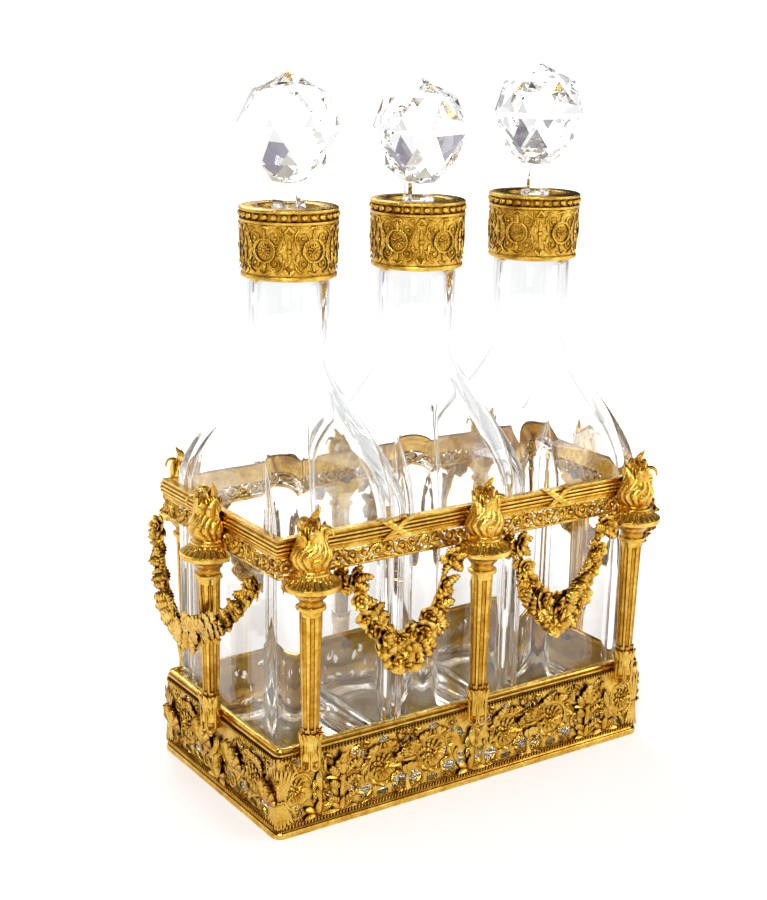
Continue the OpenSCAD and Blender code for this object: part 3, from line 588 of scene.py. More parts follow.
foliage = both([lobed_leaf(0.6, -0.4, 18, 9, turn=24, lean=6), lobed_leaf(2.4, -0.2, 18, 7, turn=62, lean=4),
                volute(5.6, 0, 25.5, 1.7), leaf(3.6, 0, 27, 5.4, turn=30),
                leaf(2.2, 0.2, 0.8, (3.6, 4, 4.4), turn=96), leaf(3.4, 0, 14.6, (4, 4, 6.4), turn=84),
                bead(5.4, 0, 14.2, 0.9)])
foliage += [("urn", at(0, 0.2, 0.4, (0.86, 0.42, 0.95))), lobed_leaf(0, -0.8, 18, 11, lean=6),
            petal(0, -1.7, 10.6, (4.2, 2, 5.2)), petal(-2, -1.5, 10.6, (3.2, 2, 4.6), turn=-16),
            petal(2, -1.5, 10.6, (3.2, 2, 4.6), turn=16)]
group("urn_with_leaves", foliage)

spray = both([lobed_leaf(0.4, -0.5, 19, (6, 5, 9), turn=20), lobed_leaf(1.2, -0.4, 18, (6, 5, 9), turn=44),
              leaf(1.6, -0.2, 17, (5, 5, 8), turn=72), lobed_leaf(1, -0.3, 12, (5.4, 5, 8), turn=48),
              leaf(4.6, 0, 15.6, (4, 4, 6), turn=96), volute(7.4, 0, 11.4, (3.2, 4, -3.2)),
              bead(7.4, -0.4, 11.4, 1.0), lobed_leaf(0.8, -0.3, 5, (5.4, 5, 8.6), turn=62),
              leaf(6.4, 0, 7.6, (4, 4, 5.6), turn=110), volute(9.6, -0.1, 28, (-2.4, 4, 2.4)),
              bead(9.6, -0.4, 28, 0.9), leaf(4.4, 0, 27.6, (4, 4, 6), turn=54),
              leaf(8.6, 0.1, 22, (4, 4, 6.4), turn=8), leaf(10, 0.1, 17, (4, 4, 5), turn=40),
              leaf(0.4, -0.2, 1.2, (6, 5, 7), turn=52), leaf(0.4, 0, 0.6, (5, 5, 7), turn=84)])
spray += [lobed_leaf(0, -0.8, 18, (8, 6, 13)), leaf(0, -0.6, 10, (5, 6, 9)), petal(0, -0.2, 0, (2.6, 5, 20)),
          bead(0, -0.9, 17, (2.0, 1.3, 2.0)), leaf(0, -0.5, 0.6, (6, 6, 7))]
group("acanthus_spray", spray)

husks = both([leaf(0.4, -0.2, 20, 6, turn=150), leaf(0.4, -0.2, 14, 5.4, turn=152),
              volute(3.6, 0, 19.4, 2.2), leaf(1.4, 0, 3, 7.2, turn=60), leaf(1, 0, 1.6, 7, turn=92)])
husks += [leaf(0, -0.8, 24, (7, 8, 9), turn=180), leaf(0, -0.8, 17, (6, 7, 8), turn=180),
          bead(0, -0.8, 8, 1.3), leaf(0, -0.4, 2, (7, 8, 8))]
group("husk_drop", husks)

palmette = both([lobed_leaf(0.6, -0.2, 3, 13, turn=16), leaf(1.2, -0.1, 3, 11, turn=36),
                 leaf(1.6, 0, 3, 9, turn=60), volute(4, 0, 2.6, 2.2), bead(4, -0.4, 2.6, 0.9)])
palmette += [lobed_leaf(0, -0.3, 3, 15), bead(0, -0.8, 3.4, 1.5)]
group("palmette", palmette)

# The pierced ground behind the ornament, and where the ornaments stand along it
LONG_HALF, SHORT_HALF = 107.9, 53.2
WALL_H = CAP_FOOT - PLINTH_TOP
MID = WALL_MIDDLE - PLINTH_TOP
LONG_FLOWERS, SHORT_FLOWERS = (-51, -22.5, 22.5, 51), (-33, 33)
URN_X, SPRAY_X, HUSK_X, END_X = 36.75, 74, 86.6, 98.6


def ground(name, half, holes):
    """A sheet pierced with oval holes: x, height above the plinth, half width, half height, turn."""
    sheet = alone(bpy.ops.mesh.primitive_cube_add, size=1)
    mould(sheet, lambda x, y, z: (x * 2 * half, y * 1.2 - 0.2, (z + 0.5) * WALL_H))
    tools = []
    for x, z, w, h, turn in holes:
        tool = alone(bpy.ops.mesh.primitive_cylinder_add, vertices=14, radius=1, depth=6,
                     rotation=(math.pi / 2, 0, 0))
        bpy.ops.object.transform_apply(rotation=True, location=False, scale=False)
        tool.data.transform(at(x, 0, z, (w, 1, h), turn=turn))
        tools.append(tool)
    pick(*tools)
    bpy.ops.object.join()
    cutter = bpy.context.object
    bpy.ops.object.select_all(action="DESELECT")
    finish_with(sheet, "BOOLEAN", operation="DIFFERENCE", solver="EXACT", use_self=True, object=cutter)
    assert len(sheet.data.vertices) > 100, "the ground was not pierced"
    bpy.data.objects.remove(cutter)
    keep(name, sheet)


def holes_round(x, z):
    """The openings round a flower in its scroll."""
    return [(x - 9.6, z - 11.0, 4.3, 4.0, 30), (x + 9.6, z - 11.0, 4.3, 4.0, -30), (x, z - 13.4, 3.4, 2.2, 0),
            (x - 12.2, z + 9.6, 2.0, 3.2, -30), (x + 12.2, z + 9.6, 2.0, 3.2, 30), (x, z + 13.6, 3.2, 1.6, 0),
            (x - 7.6, z + 1, 1.0, 3.4, 8), (x + 7.6, z - 1, 1.0, 3.4, 8), (x - 3, z + 7.4, 2.6, 1.0, -20)]


long_holes = [h for x in LONG_FLOWERS for h in holes_round(x, MID)]
long_holes += [h for s in (-1, 1) for h in ((s * 99, MID - 11.5, 4, 4, 0), (s * 98, MID + 12, 2.4, 3, 20 * s))]
for s in (-1, 1):
    long_holes += [(s * URN_X - 3.4, 8.6, 1.2, 3.4, 6), (s * URN_X + 3.4, 8.6, 1.2, 3.4, -6)]
    long_holes += [(s * SPRAY_X - 6.4, 11, 1.6, 3, -40), (s * SPRAY_X + 6.4, 11, 1.6, 3, 40),
                   (s * SPRAY_X - 7, 29, 1.6, 3, 30), (s * SPRAY_X + 7, 29, 1.6, 3, -30)]
    long_holes += [(s * 5.4, 9.4, 2.6, 4.2, s * 10), (s * 6.4, 24, 1.6, 3.4, s * 20)]
ground("long_ground", LONG_HALF, [h for h in long_holes if abs(h[0]) < LONG_HALF - 4])
long_wall = [("long_ground", at(0, 0.9, 0)), ("husk_drop", at(0, 0, 1))]
long_wall += [("flower_in_scroll", at(x, 0, MID, (1 if x > 0 else -1, 1, 1))) for x in LONG_FLOWERS]
long_wall += [("end_flower", at(s * END_X, 0, MID, (s, 1, 1))) for s in (-1, 1)]
long_wall += [("urn_with_leaves", at(s * URN_X, 0, 1)) for s in (-1, 1)]
long_wall += [("acanthus_spray", at(s * SPRAY_X, 0, 1)) for s in (-1, 1)]
long_wall += [("husk_drop", at(s * HUSK_X, 0.2, 0.6)) for s in (-1, 1)]
group("long_wall", long_wall)

short_holes = [h for x in SHORT_FLOWERS for h in holes_round(x, MID)]
for s in (-1, 1):
    short_holes += [(s * 7.8, 6, 3.4, 3.4, 0), (s * 17.4, 4.4, 3.2, 2.2, 0), (s * 14, 26, 1.5, 3.4, s * 20)]
ground("short_ground", SHORT_HALF, short_holes)
short_wall = [("short_ground", at(0, 0.9, 0)), ("husk_drop", at(0, 0, 1)), ("small_rose", at(0, -0.4, 10, 4.6))]
short_wall += [("flower_in_scroll", at(x, 0, MID, (1 if x > 0 else -1, 1, 1))) for x in SHORT_FLOWERS]
short_wall += [("palmette", at(s * 15, 0, 12)) for s in (-1, 1)]
short_wall += [("palmette", at(s * 47.5, 0, 8, 0.9)) for s in (-1, 1)]
short_wall += [volute(s * 12.6, 0, 6.4, (s * 4, 4, 4)) for s in (-1, 1)]
short_wall += [("c_scroll", at(0, 0, 10, 6.4, turn=200))]
group("short_wall", short_wall)

for side in WALLS:
    shape, out = ("long_wall", PANEL[1]) if side in ("front", "back") else ("short_wall", PANEL[0])
    on_stand("gallery_relief_" + side, moved([(shape, at(0, -out, PLINTH_TOP))], wall(side)),
             ["gallery_" + side])

# Corners: a ribbed bell under a ribbed fan with a boss, folded round the corner
corner = []
for k in range(-4, 5):
    corner += [petal(k * 0.42, 0.1 * abs(k), 13.4, (1.3, 4, 13.3 - 0.1 * k * k), turn=180 - 5.2 * k),
               petal(k * 0.42, 0.1 * abs(k), 13.6, (1.2, 4, 16.8 - 0.12 * k * k), turn=4.8 * k)]
corner += [bead(x, 0.1 * abs(x), 13.5, (0.8, 1.2, 0.8)) for x in (-2.6, -1.3, 0, 1.3, 2.6)]
corner += both([volute(5.4, 0.1, 30.6, (2, 3, -2)), volute(5.4, 0.1, 2.8, (-1.8, 3, 1.8))])
corner += [("low_flower", at(0, -0.4, 24.4, (0.34, 0.5, 0.34))),
           ("branch", at(0, -0.5, 24.4, (2.9, 4, 2.9), turn=180))]
group("corner", corner)
reshape("corner", lambda x, y, z: (x, y + (np.sqrt(x ** 2 + 1.2) - 1.1), z))
frames = [at(sx * 107.9, sy * 55.4, PLINTH_TOP, face=face) for sx, sy, face in
          ((1, -1, 45), (1, 1, 135), (-1, 1, 225), (-1, -1, -45))]
on_stand("corner_acanthus", moved([("corner", at())], *frames), ["corner_leaves"])

# Torches
ALL_TORCHES = [torch(t) for t in TORCHES]

# Leaf socket: a ribbed sheath that ends in a loop, with curled leaf tips round its top
LOOP_HALF = 2.3
loop = [(LOOP_HALF, 0, 18)] + [(LOOP_HALF, 0, 17 - k) for k in range(12)]
loop += [(LOOP_HALF * math.cos(math.radians(a)), 0, 5 - 2.6 * math.sin(math.radians(a))) for a in range(15, 181,
                                                                                                        15)]
loop += [(-LOOP_HALF, 0, 6 + k) for k in range(12)]
wire("loop", loop, [0.62] * len(loop), sides=2)
blade("curled_tip", 4, 8, 0.62, 0, 0, 0.42, thick=0.09)
socket = []
for a in (-90, -30, 30, 90):
    out = on_circle(4.4, a)
    socket += [("curled_tip", at(*out, 12.8, (5.0, 4.2, 8.6), face=a)),
               ("curled_tip", at(*out, 9, (4.6, 2.4, 7.6), face=a))]
for a in (-60, 0, 60):
    out = on_circle(4.2, a)
    socket += [("loop", at(*out, 0, (0.9, 1, 1), face=a)),
               ("curled_tip", at(*out, 13, (4.8, 3.6, 7.2), face=a)),
               petal(out[0] * 0.96, out[1] * 0.96, 6, (1.6, 2.6, 11), face=a)]
socket += [bead(0, -1.2, 1.0, (2.0, 1.7, 1.6)), bead(0, -0.6, -0.8, (1.2, 1.2, 1.4))]
on_stand("torch_leaf_sockets", moved(moved(socket, at(0, 0, SOCKET_FOOT)), *ALL_TORCHES))

# Cup: turned, with gadroons over its rim, cut flat where it lies on the frieze
cup = turned(None, [(0, 0), (5.6, 0), (6.6, 0.4), (6.9, 1.2), (6.6, 2.1), (5.5, 2.5), (5.2, 3.4), (5.3, 4.4),
                    (6.0, 5.2), (6.4, 5.8), (6.9, 6.2), (7.2, 7.0), (8.4, 8.4), (10.4, 9.6), (12.5, 10.3),
                    (13.35, 10.5), (13.45, 11.0), (13.45, 12.3), (13.3, 12.7), (12.7, 12.8), (12.5, 13.1),
                    (11.6, 13.7), (10.6, 14.5), (9.6, 15.3), (8.7, 16.1), (8.3, 16.6), (8.5, 17.1), (8.3, 17.7),
                    (7.6, 18.0), (7.0, 19), (0, 19)], steps=144)


def gadroons(x, y, z):
    """Ribs over the rim and under the bowl."""
    r, a = np.hypot(x, y), np.arctan2(y, x)
    over = np.clip((z - 13.0) / 0.6, 0, 1) * np.clip((16.5 - z) / 0.6, 0, 1)
    under = np.clip((z - 6.4) / 1, 0, 1) * np.clip((10.3 - z) / 0.6, 0, 1)
    k = 1 + 0.05 * under * (np.abs(np.cos(8 * a)) ** 0.6 - 0.8)
    return (x * k, y * k, z + 1.0 * over * (np.abs(np.cos(12 * a)) ** 0.6 - 0.85))


mould(cup, gadroons)
edit(bpy.ops.mesh.bisect, plane_co=(0, 3.95, 0), plane_no=(0, 1, 0), clear_outer=True, use_fill=True)
keep("cup", cup)

# Flame: a bulb of wavy strands that breaks into tongues curling out at its top
bulb_line = [(6.4, 0), (7.4, 0.9), (8.5, 2.6), (9.2, 5.0), (9.1, 7.2), (8.2, 9.8), (6.9, 12.2), (5.9, 14.2),
             (5.4, 16), (5.0, 18), (4.0, 20), (2.0, 21.6)]
heights = np.linspace(0, 21.6, 34)
bulb_rings = [(float(np.interp(h, [z for _, z in bulb_line], [r for r, _ in bulb_line])), float(h))
              for h in heights]
bulb = turned(None, [(0, 0)] + bulb_rings + [(0, 22.4)], steps=112)


def strands(x, y, z):
    """Wavy grooves that wind up the bulb."""
    a = np.arctan2(y, x)
    wave = 6.5 * a + 1.9 * np.sin(z * 0.34 + 0.6 * np.sin(3 * a)) + 0.8 * np.sin(2 * a)
    k = 1 + 0.13 * (np.abs(np.cos(wave)) ** 0.7 - 0.75)
    return (x * k, y * k, z)


keep("bulb", mould(bulb, strands))
line, radii = [], []
for k in range(17):
    f = k / 16
    bend = math.radians(200 * max(0, f - 0.45) / 0.55)
    line.append((0.9 * math.sin(4.2 * f), -3.0 * (1 - math.cos(bend)) - 0.5 * math.sin(math.pi * f),
                 8.2 * min(f / 0.45, 1) * 0.86 + 3.4 * math.sin(bend)))
    radii.append(0.4 + 1.9 * (1 - f) ** 0.8 * (0.75 + 0.5 * math.sin(math.pi * min(1, 1.3 * f))))
wire("curl", line, radii, sides=2)
line = [(1.1 * math.sin(3.6 * k / 12), -0.4 * math.sin(math.pi * k / 12) - 2.6 * (k / 12) ** 2, 10.4 * k / 12)
        for k in range(13)]
wire("horn", line,
     [0.3 + 1.8 * (1 - k / 12) ** 0.6 * (0.8 + 0.4 * math.sin(math.pi * k / 12)) for k in range(13)], sides=2)
flame = [("bulb", at(0, 0, 0))]
for a, radius, height, shape, size, lean in ((-80, 5.0, 8.6, "horn", (1.3, 1.2, 1.06), -4),
                                             (-24, 4.4, 10.8, "curl", (1.3, 0.95, 0.86), -4),
                                             (36, 4.4, 9.4, "curl", (-1.35, 1.0, 0.96), -4),
                                             (86, 4.8, 9.8, "horn", (-1.3, 1.2, 0.98), -6),
                                             (150, 3.6, 11.0, "horn", (1.2, 1, 0.9), 0),
                                             (-140, 3.6, 10.6, "horn", (-1.2, 1, 0.96), 0),
                                             (4, 2.2, 14.4, "curl", (1.3, 0.86, 0.84), -6),
                                             (96, 0.8, 16.6, "horn", (1.2, 1.2, 1.02), 4),
                                             (-84, 1.4, 15.6, "curl", (-1.2, 0.9, 0.76), 0)):
    flame.append((shape, at(*on_circle(radius, a), height, size, lean=lean, face=a)))
group("flame", flame)
# its back is flat where it meets the rail
reshape("flame", lambda x, y, z: (x, np.minimum(y, 2.9 + 2.4 * (z > 13.7)), z))
on_stand("torch_cups", moved([("cup", at(0, 0, SHAFT_TOP))], *ALL_TORCHES), ["torch_cup_" + t for t in TORCHES])
on_stand("torch_flames", moved([("flame", at(0, 0, CUP_TOP - 0.2))], *ALL_TORCHES),
         ["torch_flame_" + t for t in TORCHES])

# Frieze and ribbons
round_frame("frieze_foot", PANEL, FRIEZE_CORNER, [(-1.6, FRIEZE_FOOT), (-0.2, FRIEZE_FOOT), (0.25, 125.3),
                                                  (0.1, 126.0), (-0.3, 126.3), (-1.6, 126.3),
                                                  (-1.6, FRIEZE_FOOT)])
round_frame("frieze_head", PANEL, FRIEZE_CORNER, [(-1.6, 133.3), (-0.4, 133.3), (0, 133.6), (0, RAIL_FOOT),
                                                  (-1.6, RAIL_FOOT), (-1.6, 133.3)])
SCROLL_PITCH, SCROLL_LENGTH, FRIEZE_END = 13.2, 11.6, 1.5
for side in WALLS:
    half, out = PANEL if side in ("front", "back") else PANEL[::-1]
    count = round(2 * (half - FRIEZE_END) / SCROLL_PITCH)
    step = 2 * (half - FRIEZE_END) / count
    line = []
    for k in range(count):
        x = (k - (count - 1) / 2) * step
        line.append(("running_scroll", at(x, 0, 0, (step / SCROLL_LENGTH, 1, (1 if k % 2 else -1) * 1.02))))
        line.append(("small_rose", at(x + step / 2, 0.1, 0, 1.7)))
    on_stand("frieze_scrolls_" + side, moved(line, wall(side) @ at(0, 0.75 - out, FRIEZE_MIDDLE)),
             ["frieze_" + side])
on_stand("frieze_edges", [("frieze_foot", at()), ("frieze_head", at())], metal=PLAIN_GILT)

# Ribbon crossed over the rail: two strips that follow the reeds, and their ends over the rail's top
TIE_X, RIBBON_THICK = 46.75, 0.5


def along_reeds(x, y, z):
    """A slanting strip that is pressed over the reeds, with its edges turned in."""
    reeds = 0.22 * np.abs(np.cos(y * 5 * np.pi))
    return (x * 4.4 + y * 13, -57.0 - reeds + 0.25 * np.abs(2 * x) ** 2, 138.65 + y * 8.9)


strip = alone(bpy.ops.mesh.primitive_grid_add, x_subdivisions=4, y_subdivisions=28, size=1)
mould(strip, along_reeds)
finish_with(strip, "SOLIDIFY", thickness=RIBBON_THICK, offset=0)
keep("strip", strip)
strip = alone(bpy.ops.mesh.primitive_grid_add, x_subdivisions=4, y_subdivisions=8, size=1)
mould(strip, lambda x, y, z: (x * 3.6, y * 5.4 - 54.6, 143.2 + 0 * z))
finish_with(strip, "SOLIDIFY", thickness=RIBBON_THICK, offset=0)
keep("over_top", strip)
tie = [("strip", at()), ("strip", at(0, -0.35, 0, (-1, 1, 1))), ("over_top", at(6.5)), ("over_top", at(-6.5))]
places = [wall(side) @ at(x) for side in ("front", "back") for x in (-TIE_X, TIE_X)]
on_stand("rail_ribbons", moved(tie, *places), ["ribbon_ties"], PLAIN_GILT)


# Swags
def hang(x1, x2, out, bulge, drop):
    """The line that a swag hangs on, for s from -1 to 1, as in the CAD."""
    half = (x2 - x1) / 2

    def place(s):
        sag = 1 - s * s
        return Vector(((x1 + x2) / 2 + half * s * (1 + 0.1 * sag), -out - bulge * sag,
                       FRIEZE_FOOT - 3 - drop * sag))
    return place


def tilt_at(line, s):
    """The way that the line runs there, in degrees from level."""
    d = line(min(1, s + 0.02)) - line(max(-1, s - 0.02))
    return math.degrees(math.atan2(d.z, d.x))


def swag(line, depth, blooms, leaves, berries, seed):
    """Flowers along a hanging stem, with leaves that stand out on both sides and berries between."""
    rnd = random.Random(seed)
    stem = [line(-1 + k / 20) for k in range(41)]
    wire("stem_%d" % seed, [tuple(p) for p in stem], [1.1] * 41, sides=1)
    out = [("stem_%d" % seed, at())]
    for bloom, s, size, up, sunk in blooms:
        p = line(s)
        out.append((bloom, at(p.x, p.y - depth * 0.25 + 0.8 * sunk, p.z + up, (size, size * 0.8, size),
                              turn=rnd.uniform(0, 90), lean=rnd.uniform(-14, 14), face=rnd.uniform(-26, 26))))
    for s, size, angle in leaves:
        p = line(s)
        base = 90 - tilt_at(line, s)
        shape = "lobed_leaf" if size > 7.5 else "leaf"
        out.append((shape, at(p.x, p.y - rnd.uniform(-0.5, depth * 0.5), p.z, size, turn=base + angle,
                              lean=rnd.uniform(-10, 16), face=rnd.uniform(-15, 15))))
    for s, up, size in berries:
        p = line(s)
        out.append(bead(p.x + rnd.uniform(-1, 1), p.y - depth * rnd.uniform(0.3, 0.9), p.z + up, size))
    return out


def front_swag(mirror, seed):
    """A full swag of flowers, with a small bunch at each end."""
    line = hang(20, 73, 60, 0.6, 39)
    rnd = random.Random(seed)
    blooms = [("dahlia", 0.02, 8.4, 1.0, 0), ("lily", -0.1, 8.6, -5.4, 1), ("lily", 0.12, 8.2, -4.4, 1),
              ("dahlia", -0.13, 5.8, 5.6, 1), ("dahlia", 0.17, 5.6, 5.0, 1), ("dahlia", -0.38, 7.4, 1.6, 0),
              ("lily", -0.4, 7.0, -4.0, 1), ("dahlia", 0.4, 7.4, 2.0, 0), ("lily", 0.42, 6.8, -3.6, 1),
              ("dahlia", -0.52, 5.4, 2.4, 1), ("dahlia", 0.55, 5.6, 2.2, 1), ("lily", -0.68, 5.8, 0.4, 1),
              ("lily", 0.7, 5.8, 0, 1), ("dahlia", -0.82, 5.2, 0.4, 0), ("dahlia", 0.84, 5.2, 0, 0),
              ("dahlia", -1, 6.4, 0.4, 0), ("dahlia", 1, 6.4, 0.4, 0)]
    leaves = []
    for s in (-0.84, -0.74, -0.64, -0.56, -0.46, -0.36, -0.26, -0.16, 0.16, 0.26, 0.36, 0.46, 0.56, 0.64, 0.74,
              0.84):
        way = 1 if s > 0 else -1
        reach = 8.4 if abs(s) > 0.66 else 11
        leaves += [(s, reach, way * rnd.uniform(-64, -40)), (s + 0.02, reach, way * rnd.uniform(200, 236))]
    leaves += [(0, 11, 92), (-0.06, 10.4, 118), (0.06, 10.6, 66), (-0.1, 9.6, 146), (0.1, 9.6, 34),
               (-0.04, 9, -60), (0.04, 9, -120)]
    for e in (-1, 1):
        leaves += [(e * 0.99, 8, a) for a in (-150, -90, -30, 60, 120)]
    berries = [(rnd.uniform(-0.6, 0.6), rnd.uniform(-4.2, 5.4), rnd.uniform(0.8, 1.3)) for _ in range(12)]
    copies = swag(line, 5.4, blooms, leaves, berries, seed)
    for e in (-1, 1):
        end = line(e)
        copies += [("lily", at(end.x + e * 4.6, end.y + 1.2, end.z - 2.2, 5.4, turn=20, face=e * 14)),
                   ("dahlia", at(end.x + e * 5.4, end.y + 1.6, end.z + 2.4, 4.2, turn=50, face=e * 10))]
    return moved(copies, FLIP) if mirror else copies


def side_swag(seed):
    """A slimmer swag of laurel leaves with a few flowers."""
    line = hang(-48.5, 48.5, 112.5, 9.2, 36)
    rnd = random.Random(seed)
    blooms = [("dahlia", -1, 5.8, 0, 0), ("dahlia", 1, 5.8, 0, 0), ("lily", 0, 5.4, -3, 0),
              ("dahlia", -0.3, 4, 0.8, 0), ("dahlia", 0.3, 4, 0.6, 0), ("lily", -0.62, 4, 0.3, 0),
              ("lily", 0.62, 4, 0.3, 0)]
    leaves = []
    for k in range(33):
        s = -0.93 + 1.86 * k / 32
        way = 1 if s > 0 else -1
        reach = 11.4 if abs(s) < 0.5 else 8
        leaves += [(s, reach, way * rnd.uniform(-70, -48)), (s, reach, way * rnd.uniform(-132, -110)),
                   (s + 0.02, reach * 0.95, way * rnd.uniform(-14, 14))]
        leaves += [(s, reach * 0.9, 180 - way * rnd.uniform(-74, -40))]
    for e in (-1, 1):
        leaves += [(e * 0.99, 6.4, a) for a in (-150, -90, -30, 60, 120)]
    berries = [(rnd.uniform(-0.8, 0.8), rnd.uniform(-3, 3), rnd.uniform(0.8, 1.2)) for _ in range(16)]
    return swag(line, 3.6, blooms, leaves, berries, seed)


for name, side, mirror, seed in (("front_left", "front", True, 11), ("front_right", "front", False, 12),
                                 ("back_left", "back", False, 13), ("back_right", "back", True, 14)):
    on_stand("flower_swag_" + name, moved(front_swag(mirror, seed), wall(side)), ["swag_" + name])

PROUD_FROM, PROUD_MOST = 120.3, 5.0


def draw_in(x, y, z):
    """Leaf tips that stand out past PROUD_FROM are drawn in softly, to PROUD_MOST beyond it."""
    proud = np.maximum(0, -PROUD_FROM - y)
    return (x, y + (proud - PROUD_MOST * np.tanh(proud / PROUD_MOST)), z)


for name, side, seed in (("side_left", "left", 15), ("side_right", "right", 16)):
    group("leaf_swag", side_swag(seed))
    reshape("leaf_swag", draw_in)
    on_stand("leaf_swag_" + name, moved([("leaf_swag", at())], wall(side)), ["swag_" + name])

# Collars: a turned sleeve with a row of beads and six embossed patterns
turned("collar_sleeve", [(19.05, 0), (21.2, 0), (21.7, 0.3), (21.8, 1.2), (21.5, 2.0), (21.1, 2.4), (21.2, 3.0),
                         (21.3, 14), (21.9, 24.2), (22.3, 24.6), (22.3, 25.6), (21.7, 26.0), (21.3, 26.2),
                         (21.3, 29.0), (22.1, 29.3), (22.4, 29.9), (22.2, 30.6), (21.4, 31), (14.2, 31),
                         (13.5, 30.6), (13.5, 29.5), (19.05, 29.5), (19.05, 0)], steps=96, closed=True)


def round_sleeve(shape, angle, z, size, turn=0, sink=0.0):
    """A copy laid on the sleeve, which widens upwards."""
    r = 21.35 + 0.5 * (z / 24) - sink
    return (shape, at(*on_circle(r, angle), z, size, turn=turn, face=angle))


wire("fine_volute", spiral(0, 0, 1, 0.12, 90, -560, 34), [0.085 - 0.0012 * k for k in range(35)], sides=1)
wire("fine_arc", spiral(0, 0, 1, 0.9, 200, -40, 24),
     [0.06 + 0.03 * math.sin(math.pi * k / 24) for k in range(25)], sides=1)
collar = [("collar_sleeve", at())]
for k in range(30):
    collar.append(round_sleeve("bead", 12 * k, 27.7, (1.6, 1.4, 1.45), sink=0.25))
for k in range(6):
    a = 60 * k
    collar += [round_sleeve("low_flower", a, 13.4, (0.46, 0.42, 0.46)),
               round_sleeve("fine_arc", a, 13.4, (5.4, 4, 5.4)),
               round_sleeve("fine_arc", a, 13.4, (5.2, 4, 5.2), turn=180),
               round_sleeve("leaf", a, 18.0, (3.0, 2, 4.4)),
               round_sleeve("leaf", a, 8.8, (3.0, 2, 4.2), turn=180)]
    for s in (-1, 1):
        collar += [round_sleeve("fine_volute", a + s * 13.6, 18.8, (s * 4.2, 4, 4.2)),
                   round_sleeve("fine_volute", a + s * 13.6, 8.0, (s * 4.0, 4, -4.0)),
                   round_sleeve("bead", a + s * 13.6, 18.8, (0.8, 0.5, 0.8)),
                   round_sleeve("bead", a + s * 13.6, 8.0, (0.8, 0.5, 0.8)),
                   round_sleeve("leaf", a + s * 24, 21.2, (2.8, 1.8, 3.6), turn=s * 40),
                   round_sleeve("leaf", a + s * 24, 5.4, (2.8, 1.8, 3.4), turn=s * 140),
                   round_sleeve("leaf", a + s * 7, 22.6, (2.4, 1.8, 3.4), turn=-s * 66),
                   round_sleeve("leaf", a + s * 7, 4.4, (2.4, 1.8, 3.2), turn=-s * 114),
                   round_sleeve("leaf", a + s * 19, 14.4, (2.6, 1.8, 3.8), turn=s * 12),
                   round_sleeve("leaf", a + s * 19, 12.4, (2.6, 1.8, 3.8), turn=s * 168),
                   round_sleeve("leaf", a + s * 25, 16.8, (2.2, 1.8, 3.2), turn=-s * 36),
                   round_sleeve("leaf", a + s * 25, 9.8, (2.2, 1.8, 3.2), turn=-s * 144),
                   round_sleeve("leaf", a + s * 15, 23.2, (2.0, 1.6, 2.8), turn=s * 96),
                   round_sleeve("leaf", a + s * 10, 13.4, (1.8, 1.6, 2.6), turn=s * 90)]
    collar += [round_sleeve("bead", a + 30, 13.4, (1.2, 0.8, 1.2)),
               round_sleeve("leaf", a + 30, 14.2, (2.8, 1.8, 4.6)),
               round_sleeve("leaf", a + 30, 12.6, (2.8, 1.8, 4.6), turn=180),
               round_sleeve("fine_volute", a + 30, 22.4, (2.0, 3, 2.0)),
               round_sleeve("fine_volute", a + 30, 4.8, (-2.0, 3, 2.0))]
for side, x in BOTTLES.items():
    piece_from("embossed_collar_" + side, moved(collar, at(x, 0, COLLAR_FOOT)), "decanter_" + side, COLLAR_GILT,
               ["collar_" + side])

# Bottles: the outline keeps its round corners up to the shoulder, where it draws in to the round neck
HALF_W, HALF_D, CORNER = (PITCH - 0.7) / 2, 51.65, 8
GLASS_WALL = 3.6
IN_W, IN_D, IN_R = HALF_W - GLASS_WALL, HALF_D - GLASS_WALL, 14.65
BODY, SHOULDER, TOP = 136.4, 70, 268.9
NECK = 19
SHOULDER_STEPS = 28
FOOT_ROUND = 14              # how much the glass thickens round its foot


def ease(t):
    """From 0 to 1 with a soft start and end."""
    return t * t * (3 - 2 * t)


# half width, half depth, corner and height of each level: the outside from the foot up
levels = [(HALF_W - cut, HALF_D - cut, corner, z) for cut, corner, z in (
    (16, 6, 1.6), (9, 5, 1.2), (6, 5, 0.5), (4, 5, 0.12), (2.4, 5.6, 0.12), (0.8, 7.2, 0.4), (0.2, 7.8, 0.8),
    (0, CORNER, 1.5), (0, CORNER, 30), (0, CORNER, 70), (0, CORNER, 110))]
for k in range(SHOULDER_STEPS + 1):
    t = k / SHOULDER_STEPS
    s = ease(t)
    levels.append(tuple(v + (18.85 - v) * s for v in (HALF_W, HALF_D, CORNER)) + (BODY + SHOULDER * t,))
levels += [(r, r, r, z) for r, z in ((NECK, BODY + SHOULDER + 4), (NECK, TOP - 0.5), (18.6, TOP))]
# and the inside from the mouth down: the ground seat of the stopper, the bore, the body and its foot
inside = [(r, r, r, TOP - z) for r, z in ((11.1, 0), (11.1, 2.5), (10.4, 26.5), (14.8, 32.5))]
for k in range(SHOULDER_STEPS, -1, -1):
    t = k / SHOULDER_STEPS
    s = ease(t)
    inside.append((IN_W + (IN_R - IN_W) * s, IN_D + (IN_R - IN_D) * s, IN_R, BODY + SHOULDER * t))
inside += [(IN_W, IN_D, IN_R, 90), (IN_W, IN_D, IN_R, 40)]
for k in range(6, -1, -1):
    q = math.radians(15 * k)
    cut = FOOT_ROUND * (1 - math.sin(q))
    inside.append((IN_W - cut, IN_D - cut, IN_R, 9 + FOOT_ROUND * (1 - math.cos(q))))
levels += inside
shell = alone(bpy.ops.mesh.primitive_circle_add, vertices=128, radius=1,
              rotation=(0, 0, math.radians(360 / 256)))
bpy.ops.object.transform_apply(rotation=True, location=False, scale=False)
shell = drawn_up(shell, [(1, 1, k) for k in range(len(levels))])


